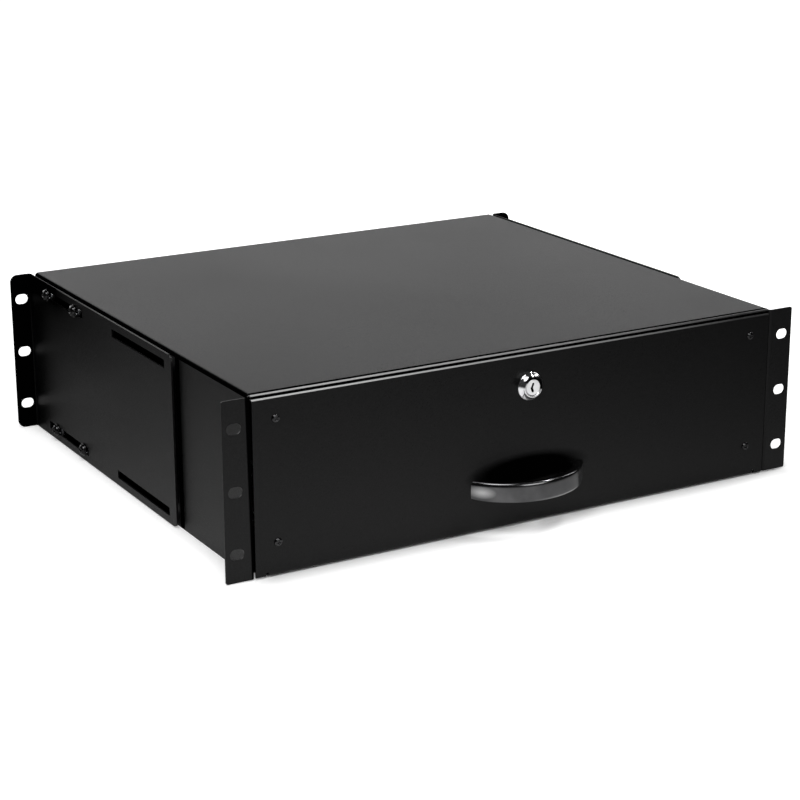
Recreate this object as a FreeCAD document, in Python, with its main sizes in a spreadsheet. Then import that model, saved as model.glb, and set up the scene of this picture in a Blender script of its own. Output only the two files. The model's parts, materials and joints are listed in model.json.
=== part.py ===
"""Sliding rack drawer, three units high, for a 19 inch rack.

A wrapped sheet steel casing with front ears holds a drawer on two full-extension ball slides.
The drawer has a bow pull and a cam lock whose cam turns up behind a rail under the casing's
top.  Two rear brackets slide along the casing's sides to meet the rack's rear posts.

Frame: +X to the right as seen from the front, +Y to the rear, +Z up.  The origin is the middle
of the front slot pattern, on the back face of the front ears.
"""
import FreeCAD, Part
import math
import os
import re
import Sketcher

# Driving dimensions in millimetres.
SIZES = {
    # rack interface
    "ear_span": 482.6,
    "ear_reach": 20.6,
    "ear_setback": 1.0,
    "ear_corner": 1.5,
    "slot_inset": 8.75,
    "slot_pitch": 44.45,
    "slot_length": 10.8,
    "slot_height": 8.0,
    # casing
    "casing_height": 131.5,
    "casing_depth": 397.0,
    "sheet": 1.2,
    "bend": 1.5,
    "bottom_setback": 12.0,
    "seam": 15.0,
    "rivet_radius": 2.0,
    "rivet_head": 3.6,
    "rivet_height": 1.0,
    "rivet_inset": 8.0,
    "rivet_level": 36.0,
    # rail that the lock catches behind
    "strike_setback": 8.0,
    "strike_depth": 16.0,
    "strike_drop": 12.5,
    "strike_gap": 8.0,
    # drawer front
    "panel_side_gap": 0.6,
    "panel_top_gap": 1.15,
    "panel_bottom_gap": 0.55,
    "panel_top_flange": 7.7,
    "panel_bottom_flange": 11.2,
    "panel_end": 9.9,
    "panel_end_step": 0.85,
    "notch_width": 2.3,
    "notch_height": 3.2,
    "panel_screw_inset": 17.4,
    "panel_screw_top": 16.15,
    "panel_screw_bottom": 24.05,
    # drawer tray
    "tray_lift": 5.75,
    "tray_headroom": 16.55,
    "tray_front_headroom": 9.55,
    "tray_rear_gap": 22.0,
    "hem_height": 8.0,
    "hem_setback": 6.0,
    # handle
    "handle_rise": 33.5,
    "handle_height": 14.0,
    "handle_half": 48.0,
    "handle_projection": 27.0,
    "grip_half": 36.0,
    "grip_depth": 20.5,
    "handle_edge": 2.2,
    "handle_screw_half": 40.0,
    "handle_screw_depth": 7.0,
    # lock
    "lock_drop": 26.5,
    "flange_radius": 10.6,
    "flange_length": 3.4,
    "collar_radius": 7.6,
    "collar_length": 7.5,
    "barrel_radius": 6.2,
    "plug_radius": 4.6,
    "plug_rim_radius": 5.8,
    "plug_rim_length": 2.0,
    "plug_recess": 0.5,
    "running_gap": 0.08,
    "keyway_width": 1.6,
    "keyway_height": 6.4,
    "keyway_depth": 7.0,
    "lock_nut_width": 17.0,
    "lock_nut_length": 3.0,
    "cam_gap": 1.6,
    "cam_thickness": 2.0,
    "cam_width": 11.0,
    "cam_headroom": 3.2,
    "cam_square": 6.0,
    # ball slides
    "rail_setback": 10.0,
    "rail_rear_gap": 37.0,
    "rail_level": 57.75,
    "rail_height": 45.6,
    "rail_thickness": 12.7,
    "rail_sheet": 1.2,
    "rail_corner": 1.5,
    "outer_rail_depth": 9.6,
    "rail_screw_front": 130.0,
    "rail_screw_pitch": 100.0,
    "ball_outer": 2.0,
    "ball_inner": 1.6,
    "ball_play": 0.1,
    "race_lip": 0.6,
    "middle_inset": 10.0,
    "cage_length": 160.0,
    "cage_sheet": 0.6,
    "cage_gap": 0.2,
    "balls_per_row": 4,
    "bumper_length": 8.0,
    "bumper_half": 8.0,
    "bumper_gap": 0.3,
    # rear brackets
    "bracket_sheet": 1.5,
    "bracket_short": 0.75,
    "bracket_length": 283.0,
    "bracket_corner": 5.5,
    "bracket_ear_corner": 6.0,
    "bracket_gap": 2.9,
    "bracket_rear_gap": 1.8,
    "bracket_travel": 7.0,
    "bracket_slot_length": 11.0,
    "bracket_slot_height": 8.4,
    "long_slot": 97.0,
    "long_slot_margin": 12.0,
    "clamp_slot": 85.0,
    "clamp_slot_margin": 30.0,
    "clamp_slot_width": 6.4,
    "clamp_slot_edge": 9.0,
    "clamp_pitch": 58.0,
    "clamp_gap": 0.15,
    "clamp_slot_play": 0.5,
    "spacer_radius": 5.5,
    "washer_radius": 5.2,
    "washer_thickness": 1.0,
    # screws and nuts
    "screw_radius": 2.0,
    "screw_head": 3.3,
    "screw_head_height": 2.2,
    "screw_flat_head": 3.6,
    "screw_flat_height": 0.8,
    "screw_end": 1.2,
    "bolt_radius": 2.5,
    "bolt_head": 4.4,
    "bolt_head_height": 2.6,
    "head_edge": 0.9,
    "hole_play": 0.15,
    "nut_radius": 3.6,
    "nut_length": 3.0,
    "bolt_nut_radius": 4.6,
    "bolt_nut_length": 4.0,
}

# Places that follow from the driving dimensions.
PLACES = {
    "top": "casing_height / 2",
    "ear_half": "ear_span / 2",
    "casing_half": "ear_half - ear_reach",
    "wall": "casing_half - sheet",
    "ceiling": "top - sheet",
    "ear_top": "top - ear_setback",
    "slot_x": "ear_half - slot_inset",
    "rail_face": "wall - rail_thickness",
    "rail_rear": "casing_depth - rail_rear_gap",
    "rail_z": "rail_level - top",
    "travel": "rail_rear - rail_setback",
    "middle_front": "rail_setback + middle_inset",
    "middle_rear": "rail_rear - middle_inset",
    "race_outer": "rail_height / 2 - rail_sheet",
    "row_outer": "race_outer - ball_outer - ball_play",
    "lip_outer": "outer_rail_depth",
    "middle_web": "rail_sheet + cage_sheet + 2 * cage_gap",
    "middle_top": "row_outer - ball_outer - ball_play",
    "race_middle": "middle_top - rail_sheet",
    "row_inner": "race_middle - ball_inner - ball_play",
    "lip_middle": "rail_thickness - rail_sheet - 3 * cage_gap",
    "inner_top": "row_inner - ball_inner - ball_play",
    "row_outer_u": "lip_outer - rail_sheet - ball_outer - ball_play",
    "row_inner_u": "lip_middle - rail_sheet - ball_inner - ball_play",
    "lip_inner": "row_inner_u - ball_inner - ball_play - rail_sheet",
    "cage_front_outer": "rail_setback + travel / 4",
    "cage_front_inner": "middle_front + travel / 4",
    "tray_bottom": "tray_lift - top",
    "tray_rim": "ceiling - tray_headroom",
    "tray_front_top": "ceiling - tray_front_headroom",
    "tray_rear": "casing_depth - tray_rear_gap",
    "panel_half": "wall - panel_side_gap",
    "panel_top": "ceiling - panel_top_gap",
    "panel_bottom": "panel_bottom_gap - top",
    "panel_screw_x": "panel_half - panel_screw_inset",
    "panel_screw_high": "panel_top - panel_screw_top",
    "panel_screw_low": "panel_bottom + panel_screw_bottom",
    "handle_z": "handle_rise - top",
    "handle_radius": "(handle_half ^ 2 + handle_projection ^ 2) / (2 * handle_projection)",
    "grip_radius": "(grip_half ^ 2 + grip_depth ^ 2) / (2 * grip_depth)",
    "lock_z": "top - lock_drop",
    "collar_face": "-sheet - collar_length",
    "cam_front": "strike_setback + sheet + cam_gap",
    "cam_rear": "cam_front + cam_thickness",
    "cam_reach": "ceiling - lock_z - cam_headroom",
    "strike_bottom": "ceiling - strike_drop",
    "bracket_half": "top - bracket_short",
    "bracket_in": "casing_half + bracket_gap",
    "bracket_out": "bracket_in + bracket_sheet",
    "bracket_rear": "casing_depth + bracket_rear_gap",
    "bracket_front": "bracket_rear - bracket_length",
    "clamp_z": "bracket_half - clamp_slot_edge",
    "clamp_rear": "bracket_rear - clamp_slot_margin",
    "clamp_front": "clamp_rear - clamp_slot",
    "clamp_reach": "bracket_travel + bolt_radius + clamp_slot_play",
    "rivet_y": "casing_depth - rivet_inset",
}

doc = FreeCAD.newDocument("RackDrawer")
sizes = doc.addObject("Spreadsheet::Sheet", "sizes")
for row, (name, number) in enumerate(SIZES.items(), 1):
    sizes.set(f"A{row}", name)
    sizes.set(f"B{row}", str(number))
    sizes.setAlias(f"B{row}", name)
doc.recompute()
places = doc.addObject("App::VarSet", "places")


def bound(text):
    """The expression text with each size and place named through the object that holds it."""
    def owner(word):
        name = word.group()
        if name in SIZES:
            return "sizes." + name
        return "places." + name if name in PLACES else name
    return re.sub(r"[a-z_][a-z_0-9]*", owner, str(text))


def value(text):
    """The number that an expression text stands for now."""
    return float(sizes.evalExpression(bound(text)))


for name, text in PLACES.items():
    places.addProperty("App::PropertyFloat", name, "Places")
    places.setExpression(name, bound(text))
    doc.recompute()


# ---- outlines: shapes whose every size and place is an expression text ----

def polygon(*corners):
    """A closed run of straight sides; a corner is (x, y) or (x, y, radius)."""
    return "polygon", corners


def rectangle(x_low, y_low, x_high, y_high):
    return polygon((x_low, y_low), (x_high, y_low), (x_high, y_high), (x_low, y_high))


def circle(x, y, radius):
    return "circle", (x, y, radius)


def obround(x, y, length, height):
    """A slot with round ends, its length along the sketch's first axis."""
    return "obround", (x, y, length, height)


def fix_point(sketch, geometry, end, x, y):
    """Hold one point of the sketch at (x, y) from its origin; None leaves a direction free."""
    for kind, text in (("DistanceX", x), ("DistanceY", y)):
        if text is None:
            continue
        index = sketch.addConstraint(Sketcher.Constraint(kind, -1, 1, geometry, end, value(text)))
        sketch.setExpression(f"Constraints[{index}]", bound(text))


def fix_radius(sketch, geometry, radius):
    index = sketch.addConstraint(Sketcher.Constraint("Radius", geometry, value(radius)))
    sketch.setExpression(f"Constraints[{index}]", bound(radius))


def arc_between(centre, radius, start, end):
    """An arc that runs anticlockwise about its centre from start to end."""
    whole = Part.Circle(centre, FreeCAD.Vector(0, 0, 1), radius)
    angles = [math.atan2(point.y - centre.y, point.x - centre.x) for point in (start, end)]
    if angles[1] < angles[0]:
        angles[1] += 2 * math.pi
    return Part.ArcOfCircle(whole, *angles)


def draw_polygon(sketch, corners):
    """Sides joined end to end, with an arc of its own radius tangent at each rounded corner."""
    points = [FreeCAD.Vector(value(corner[0]), value(corner[1]), 0) for corner in corners]
    count = len(points)
    arrive, leave, arcs = [], [], {}
    for k, corner in enumerate(corners):
        radius = value(corner[2]) if len(corner) > 2 else 0.0
        back = (points[k - 1] - points[k]).normalize()
        ahead = (points[(k + 1) % count] - points[k]).normalize()
        half = back.getAngle(ahead) / 2
        arrive.append(points[k] + back * (radius / math.tan(half)))
        leave.append(points[k] + ahead * (radius / math.tan(half)))
        if radius:
            centre = points[k] + (back + ahead).normalize() * (radius / math.sin(half))
            left_turn = ahead.cross(back).z > 0
            ends = (arrive[k], leave[k]) if left_turn else (leave[k], arrive[k])
            arcs[k] = (arc_between(centre, radius, *ends), left_turn)
    sides = [sketch.addGeometry(Part.LineSegment(leave[k], arrive[(k + 1) % count]))
             for k in range(count)]
    for k, corner in enumerate(corners):
        before, after = sides[k - 1], sides[k]
        if k not in arcs:
            sketch.addConstraint(Sketcher.Constraint("Coincident", before, 2, after, 1))
            fix_point(sketch, after, 1, corner[0], corner[1])
            continue
        arc = sketch.addGeometry(arcs[k][0])
        first, last = (1, 2) if arcs[k][1] else (2, 1)
        sketch.addConstraint(Sketcher.Constraint("Tangent", before, 2, arc, first))
        sketch.addConstraint(Sketcher.Constraint("Tangent", after, 1, arc, last))
        fix_radius(sketch, arc, corner[2])
        apex = sketch.addGeometry(Part.Point(points[k]), True)
        for side in (before, after):
            sketch.addConstraint(Sketcher.Constraint("PointOnObject", apex, 1, side))
        fix_point(sketch, apex, 1, corner[0], corner[1])


def draw_circle(sketch, x, y, radius):
    centre = FreeCAD.Vector(value(x), value(y), 0)
    ring = sketch.addGeometry(Part.Circle(centre, FreeCAD.Vector(0, 0, 1), value(radius)))
    fix_point(sketch, ring, 3, x, y)
    fix_radius(sketch, ring, radius)


def draw_obround(sketch, x, y, length, height):
    """Two half circles joined by two tangent sides."""
    radius = value(height) / 2
    reach = f"(({length}) - ({height})) / 2"
    middle = FreeCAD.Vector(value(x), value(y), 0)
    across = FreeCAD.Vector(0, radius, 0)
    ends = []
    for side in (1, -1):
        centre = middle + FreeCAD.Vector(side * value(reach), 0, 0)
        ends.append(sketch.addGeometry(
            arc_between(centre, radius, centre - across * side, centre + across * side)))
        fix_point(sketch, ends[-1], 3, f"({x}) + {side} * {reach}", y)
    right, left = ends
    shift = FreeCAD.Vector(value(reach), 0, 0)
    upper = sketch.addGeometry(Part.LineSegment(middle + shift + across, middle - shift + across))
    lower = sketch.addGeometry(Part.LineSegment(middle - shift - across, middle + shift - across))
    sketch.addConstraint(Sketcher.Constraint("Tangent", right, 2, upper, 1))
    sketch.addConstraint(Sketcher.Constraint("Tangent", upper, 2, left, 1))
    sketch.addConstraint(Sketcher.Constraint("Tangent", left, 2, lower, 1))
    sketch.addConstraint(Sketcher.Constraint("Tangent", lower, 2, right, 1))
    fix_radius(sketch, right, f"({height}) / 2")


DRAW = {"polygon": lambda sketch, corners: draw_polygon(sketch, corners),
        "circle": lambda sketch, data: draw_circle(sketch, *data),
        "obround": lambda sketch, data: draw_obround(sketch, *data)}


# ---- features ----

def new_body(label):
    """An empty body that may hold several separate solids of one kind."""
    body = doc.addObject("PartDesign::Body", label)
    body.Label = label
    body.AllowCompound = True
    return body


def sketch_at(body, plane, level):
    """A sketch on one of the body's origin planes, moved out to the level along its axis."""
    sketch = body.newObject("Sketcher::SketchObject", body.Name + "_outline")
    support = [item for item in body.Origin.OriginFeatures if item.Role == plane]
    sketch.AttachmentSupport = [(support[0], "")]
    sketch.MapMode = "FlatFace"
    outward = f"-({level})" if plane == "XZ_Plane" else str(level)
    sketch.setExpression("AttachmentOffset.Base.z", bound(outward))
    return sketch


def extrude(body, plane, start, end, *outlines, cut=False):
    """Pad or pocket outlines from the start level to the end level, start being the lower."""
    sketch = sketch_at(body, plane, start)
    for kind, data in outlines:
        DRAW[kind](sketch, data)
    feature = body.newObject("PartDesign::Pocket" if cut else "PartDesign::Pad",
                             body.Name + ("_cut" if cut else "_pad"))
    feature.Profile = sketch
    feature.Reversed = (plane == "XZ_Plane") != cut
    feature.setExpression("Length", bound(f"({end}) - ({start})"))
    doc.recompute()
    return feature


def cut(body, plane, start, end, *outlines):
    return extrude(body, plane, start, end, *outlines, cut=True)


def round_edges(body, radius, wanted):
    """Fillet the edges of the body's last feature that the test picks."""
    base = body.Tip
    names = [f"Edge{number}" for number, edge in enumerate(base.Shape.Edges, 1) if wanted(edge)]
    feature = body.newObject("PartDesign::Fillet", body.Name + "_fillet")
    feature.Base = (base, names)
    feature.setExpression("Radius", bound(radius))
    doc.recompute()
    return feature


def runs_along(edge, axis):
    """True for a straight edge parallel to the axis."""
    if not isinstance(edge.Curve, Part.Line):
        return False
    direction = edge.tangentAt(edge.FirstParameter)
    return abs(abs(getattr(direction, axis)) - 1) < 1e-6


def near(number, text):
    return abs(number - value(text)) < 1e-3


def sided(side, low, high):
    """The two levels of a piece on one side, in rising order: mirrored where side is -1."""
    return (f"{low}", f"{high}") if side > 0 else (f"-({high})", f"-({low})")


SIDES = {"left": -1, "right": 1}
EAR_ROWS = ("-slot_pitch", "0", "slot_pitch")


# ---- casing ----

def clamp_rows(side):
    """(y, z) of the four bracket screws on a side; the upper pair sits nearer the rear."""
    low_front = "clamp_front + clamp_reach"
    high_rear = "clamp_rear - clamp_reach"
    return [(low_front, "-clamp_z"), (f"{low_front} + clamp_pitch", "-clamp_z"),
            (f"{high_rear} - clamp_pitch", "clamp_z"), (high_rear, "clamp_z")]


def rail_screw_places():
    """y of the three screws that hold a rail, clear of the casing's open front."""
    return [f"rail_setback + rail_screw_front + {k} * rail_screw_pitch" for k in range(3)]


def build_casing_shell():
    """Top and sides from one sheet, with an ear bent out of each side's front edge."""
    body = new_body("casing_shell")
    extrude(body, "XZ_Plane", "bend", "casing_depth", polygon(
        ("-casing_half", "-top"), ("-casing_half", "top", "bend + sheet"),
        ("casing_half", "top", "bend + sheet"), ("casing_half", "-top"),
        ("wall", "-top"), ("wall", "ceiling", "bend"),
        ("-wall", "ceiling", "bend"), ("-wall", "-top")))
    for side in SIDES.values():
        extrude(body, "XY_Plane", "-ear_top", "ear_top", polygon(
            (f"{side} * wall", "bend * 3"), (f"{side} * wall", "-sheet", "bend + sheet"),
            (f"{side} * ear_half", "-sheet"), (f"{side} * ear_half", "0"),
            (f"{side} * casing_half", "0", "bend"), (f"{side} * casing_half", "bend * 3")))
    round_edges(body, "ear_corner", lambda edge: runs_along(edge, "y") and all(
        near(abs(point.Point.x), "ear_half") for point in edge.Vertexes))
    cut(body, "XZ_Plane", "-2 * sheet", "sheet", *[
        obround(f"{side} * slot_x", row, "slot_length", "slot_height")
        for side in SIDES.values() for row in EAR_ROWS])
    cut(body, "YZ_Plane", "-casing_half - sheet", "casing_half + sheet", *[
        circle(y, z, "bolt_radius + hole_play") for y, z in clamp_rows(1)], *[
        circle(y, "rail_z", "screw_radius + hole_play") for y in rail_screw_places()], *[
        circle("rivet_y", z, "rivet_radius") for z in ("-rivet_level", "0", "rivet_level")])
    return body


def build_casing_bottom():
    """Floor plate with a flange turned up inside each side."""
    body = new_body("casing_bottom")
    extrude(body, "XZ_Plane", "bottom_setback", "casing_depth - sheet", polygon(
        ("-wall", "seam - top"), ("-wall", "-top", "bend + sheet"),
        ("wall", "-top", "bend + sheet"), ("wall", "seam - top"),
        ("wall - sheet", "seam - top"), ("wall - sheet", "sheet - top", "bend"),
        ("sheet - wall", "sheet - top", "bend"), ("sheet - wall", "seam - top")))
    cut(body, "YZ_Plane", "-casing_half", "casing_half", *[
        circle(y, z, "bolt_radius + hole_play") for y, z in clamp_rows(1)[:2]])
    return body


def build_back_panel():
    """Rear plate with flanges turned forward along the top and both sides."""
    body = new_body("back_panel")
    extrude(body, "XZ_Plane", "casing_depth - sheet", "casing_depth", polygon(
        ("-wall", "-top"), ("wall", "-top"), ("wall", "ceiling", "bend"),
        ("-wall", "ceiling", "bend")))
    extrude(body, "YZ_Plane", "-wall + bend * 3", "wall - bend * 3", polygon(
        ("casing_depth - seam", "ceiling"), ("casing_depth", "ceiling"),
        ("casing_depth", "ceiling - bend * 3"), ("casing_depth - sheet", "ceiling - bend * 3"),
        ("casing_depth - sheet", "ceiling - sheet", "bend"),
        ("casing_depth - seam", "ceiling - sheet")))
    for side in SIDES.values():
        extrude(body, "XY_Plane", "seam + bend - top", "ceiling - bend * 3", polygon(
            (f"{side} * wall", "casing_depth - seam"), (f"{side} * wall", "casing_depth"),
            (f"{side} * (wall - bend * 3)", "casing_depth"),
            (f"{side} * (wall - bend * 3)", "casing_depth - sheet"),
            (f"{side} * (wall - sheet)", "casing_depth - sheet", "bend"),
            (f"{side} * (wall - sheet)", "casing_depth - seam")))
    cut(body, "YZ_Plane", "-casing_half", "casing_half", *[
        circle("rivet_y", z, "rivet_radius") for z in ("-rivet_level", "0", "rivet_level")])
    return body


def build_back_rivets():
    """Six rivets that hold the back panel's side flanges."""
    body = new_body("back_rivets")
    levels = ("-rivet_level", "0", "rivet_level")
    for side in SIDES.values():
        extrude(body, "YZ_Plane", *sided(side, "wall - sheet * 2", "casing_half"),
                *[circle("rivet_y", z, "rivet_radius") for z in levels])
        extrude(body, "YZ_Plane", *sided(side, "casing_half", "casing_half + rivet_height"),
                *[circle("rivet_y", z, "rivet_head") for z in levels])
    round_edges(body, "rivet_height / 2", lambda edge: isinstance(edge.Curve, Part.Circle)
                and near(edge.Curve.Radius, "rivet_head")
                and near(abs(edge.Curve.Center.x), "casing_half + rivet_height"))
    return body


def build_lock_strike():
    """Angle under the casing's top: it stiffens the front edge and stops the locked cam."""
    body = new_body("lock_strike_rail")
    extrude(body, "YZ_Plane", "strike_gap - wall", "wall - strike_gap", polygon(
        ("strike_setback", "strike_bottom"), ("strike_setback", "ceiling", "bend + sheet"),
        ("strike_setback + strike_depth", "ceiling"),
        ("strike_setback + strike_depth", "ceiling - sheet"),
        ("strike_setback + sheet", "ceiling - sheet", "bend"),
        ("strike_setback + sheet", "strike_bottom")))
    return body


# ---- rear brackets ----

def build_bracket(name, side):
    """Side plate with two pairs of long slots and a slotted ear bent out at its rear."""
    body = new_body(name + "_rear_bracket")
    half = "bracket_half"
    extrude(body, "YZ_Plane", *sided(side, "bracket_in", "bracket_out"), polygon(
        ("bracket_front", f"-{half}", "bracket_corner"),
        ("bracket_rear - bend", f"-{half}"), ("bracket_rear - bend", half),
        ("bracket_front", half, "bracket_corner")))
    extrude(body, "XY_Plane", f"-{half}", half, polygon(
        (f"{side} * bracket_in", "bracket_rear - bend * 3"),
        (f"{side} * bracket_in", "bracket_rear + bracket_sheet", "bend + bracket_sheet"),
        (f"{side} * ear_half", "bracket_rear + bracket_sheet"),
        (f"{side} * ear_half", "bracket_rear"),
        (f"{side} * bracket_out", "bracket_rear", "bend"),
        (f"{side} * bracket_out", "bracket_rear - bend * 3")))
    round_edges(body, "bracket_ear_corner", lambda edge: runs_along(edge, "y") and all(
        near(abs(point.Point.x), "ear_half") for point in edge.Vertexes))
    slot_half = "clamp_slot_width / 2"
    slots = [("bracket_front + long_slot_margin", "long_slot"), ("clamp_front", "clamp_slot")]
    cut(body, "YZ_Plane", *sided(side, "casing_half", "ear_half"), *[
        rectangle(start, f"{level} - {slot_half}", f"{start} + {length}", f"{level} + {slot_half}")
        for start, length in slots for level in ("-clamp_z", "clamp_z")])
    cut(body, "XZ_Plane", "bracket_rear - bracket_sheet", "bracket_rear + bracket_sheet * 2", *[
        obround(f"{side} * slot_x", row, "bracket_slot_length", "bracket_slot_height")
        for row in EAR_ROWS])
    return body


def rings(body, low, high, radius, bore=None, rows=None):
    """A round piece at every bracket screw on both sides, with a bore where one is given."""
    for side in SIDES.values():
        outlines = [circle(y, z, size) for y, z in (rows or clamp_rows(side))
                    for size in (radius, bore) if size]
        extrude(body, "YZ_Plane", *sided(side, low, high), *outlines)


def build_bracket_screws():
    body = new_body("bracket_screws")
    head = "bracket_out + clamp_gap + washer_thickness"
    rings(body, "wall - sheet - bolt_nut_length", head, "bolt_radius")
    rings(body, head, f"{head} + bolt_head_height", "bolt_head")
    round_edges(body, "head_edge", lambda edge: isinstance(edge.Curve, Part.Circle)
                and near(edge.Curve.Radius, "bolt_head")
                and near(abs(edge.Curve.Center.x), f"{head} + bolt_head_height"))
    return body


def build_bracket_washers():
    body = new_body("bracket_washers")
    rings(body, "bracket_out + clamp_gap", "bracket_out + clamp_gap + washer_thickness",
          "washer_radius", "bolt_radius + hole_play")
    return body


def build_bracket_spacers():
    """Bushes that stand each bracket off the casing's side."""
    body = new_body("bracket_spacers")
    rings(body, "casing_half", "bracket_in - clamp_gap", "spacer_radius",
          "bolt_radius + hole_play")
    return body


def build_bracket_nuts():
    """Clinch nuts: the lower ones seat on the floor plate's flange, the upper on the side."""
    body = new_body("bracket_nuts")
    for rows, seat in ((clamp_rows(1)[:2], "wall - sheet"), (clamp_rows(1)[2:], "wall")):
        rings(body, f"{seat} - bolt_nut_length", seat, "bolt_nut_radius", "bolt_radius", rows)
    return body


# ---- ball slides ----

def rail_point(side, u, w, *radius):
    """A corner of a rail's section: u from the casing's side inward, w up from the rail's middle."""
    return (f"{side} * (wall - ({u}))", f"rail_z + ({w})", *radius)


def mirrored_section(side, *corners):
    """The section's lower half, given from its foot, and the same corners mirrored above it."""
    low = [rail_point(side, u, f"-({w})", *radius) for u, w, *radius in corners]
    high = [rail_point(side, u, w, *radius) for u, w, *radius in reversed(corners)]
    return polygon(*low, *high)


def build_outer_rail(name, side):
    """Fixed member: a channel whose edges curl over the outer ball rows."""
    body = new_body(name + "_slide_outer")
    height, sheet = "rail_height / 2", "rail_sheet"
    extrude(body, "XZ_Plane", "rail_setback", "rail_rear", mirrored_section(
        side, ("0", height, "rail_corner"), ("lip_outer", height, f"ball_outer + ball_play + {sheet}"),
        ("lip_outer", "row_outer - race_lip"), (f"lip_outer - {sheet}", "row_outer - race_lip"),
        (f"lip_outer - {sheet}", "race_outer", "ball_outer + ball_play"),
        (sheet, "race_outer", "cage_gap")))
    for low, high, radius in (("rail_sheet - screw_flat_height", "rail_sheet", "screw_flat_head"),
                              ("0", "rail_sheet", "screw_radius")):
        cut(body, "YZ_Plane", *sided(side, f"wall - ({high})", f"wall - ({low})"), *[
            circle(y, "rail_z", f"{radius} + hole_play") for y in rail_screw_places()])
    return body


def build_middle_rail(name, side):
    """Floating member between the two pairs of ball rows."""
    body = new_body(name + "_slide_middle")
    sheet = "rail_sheet"
    extrude(body, "XZ_Plane", "middle_front", "middle_rear", mirrored_section(
        side, ("middle_web", "middle_top", "rail_corner"),
        ("lip_middle", "middle_top", f"ball_inner + ball_play + {sheet}"),
        ("lip_middle", "row_inner - race_lip"), (f"lip_middle - {sheet}", "row_inner - race_lip"),
        (f"lip_middle - {sheet}", "race_middle", "ball_inner + ball_play"),
        (f"middle_web + {sheet}", "race_middle", "cage_gap")))
    return body


def build_inner_rail(name, side):
    """Drawer member: its edges turn up around the inner ball rows."""
    body = new_body(name + "_slide_inner")
    sheet, width = "rail_sheet", "rail_thickness"
    lip = "row_inner - 2.5 * cage_gap"
    extrude(body, "XZ_Plane", "rail_setback", "rail_rear", mirrored_section(
        side, (f"{width} - {sheet}", f"inner_top - {sheet}", "cage_gap"),
        ("lip_inner", f"inner_top - {sheet}", f"ball_inner / 2 + {sheet}"), ("lip_inner", lip),
        (f"lip_inner + {sheet}", lip), (f"lip_inner + {sheet}", "inner_top", "ball_inner / 2"),
        (width, "inner_top", "rail_corner")))
    cut(body, "YZ_Plane", *sided(side, "rail_face - sheet", "rail_face + rail_sheet * 2"), *[
        circle(y, "rail_z", "screw_radius + hole_play") for y in rail_screw_places()])
    return body


def ball_places(row):
    """y of the balls in a row, evenly spaced along the cage."""
    count = int(value("balls_per_row"))
    return [f"cage_front_{row} + cage_length * {2 * k + 1} / {2 * count}" for k in range(count)]


def build_cage(name, side, row, web, flange):
    """Retainer: a thin channel whose edges carry open pockets for the balls."""
    body = new_body(f"{name}_{row}_cage")
    outer, inner = f"row_{row} + cage_sheet / 2", f"row_{row} - cage_sheet / 2"
    front = f"cage_front_{row}"
    extrude(body, "XZ_Plane", front, f"{front} + cage_length", mirrored_section(
        side, (web, outer), (flange, outer), (flange, inner), (f"{web} + cage_sheet", inner)))
    cut(body, "XY_Plane", f"rail_z - ({outer}) - cage_gap", f"rail_z + {outer} + cage_gap", *[
        circle(f"{side} * (wall - row_{row}_u)", y, f"ball_{row} + ball_play / 2")
        for y in ball_places(row)])
    return body


def build_balls(name, side, row):
    """Two rows of steel balls, one above and one below the rail's middle."""
    body = new_body(f"{name}_{row}_balls")
    for sign in (-1, 1):
        for y in ball_places(row):
            ball = body.newObject("PartDesign::AdditiveSphere", body.Name + "_ball")
            ball.setExpression("Radius", bound(f"ball_{row}"))
            centre = (f"{side} * (wall - row_{row}_u)", y, f"rail_z + {sign} * row_{row}")
            for axis, place in zip("xyz", centre):
                ball.setExpression(f"Placement.Base.{axis}", bound(place))
            doc.recompute()
    return body


def build_rail_screws(name, low_head, high_head, head_radius, low, high):
    """Three screws a side along the rail's middle: a head at one end of each shank."""
    body = new_body(name)
    for side in SIDES.values():
        for start, end, radius in ((low, high, "screw_radius"),
                                   (low_head, high_head, head_radius)):
            extrude(body, "YZ_Plane", *sided(side, start, end), *[
                circle(y, "rail_z", radius) for y in rail_screw_places()])
    return body


def build_outer_rail_screws():
    """Flat heads sunk in the fixed rails, threaded into the casing's sides."""
    seat = "wall - rail_sheet + screw_flat_height"
    return build_rail_screws("outer_rail_screws", "wall - rail_sheet", seat, "screw_flat_head",
                             seat, "casing_half + screw_end")


def build_inner_rail_screws():
    """Pan heads inside the drawer rails, threaded into the tray's sides."""
    seat = "rail_face + rail_sheet"
    return build_rail_screws("inner_rail_screws", seat, f"{seat} + screw_head_height",
                             "screw_head", "rail_face - sheet - screw_end", seat)


def build_bumpers():
    """Rubber blocks in the fixed rails that the floating rails close against."""
    body = new_body("slide_bumpers")
    for side in SIDES.values():
        extrude(body, "YZ_Plane", *sided(side, "wall - lip_inner + cage_gap * 2",
                                         "wall - rail_sheet"),
                rectangle("middle_rear + bumper_gap", "rail_z - bumper_half",
                          "middle_rear + bumper_gap + bumper_length", "rail_z + bumper_half"))
    return body


# ---- drawer ----

def front_screw_places():
    return [(f"{side} * panel_screw_x", level) for side in SIDES.values()
            for level in ("panel_screw_high", "panel_screw_low")]


def handle_screw_places():
    return [(f"{side} * handle_screw_half", "handle_z") for side in SIDES.values()]


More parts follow.
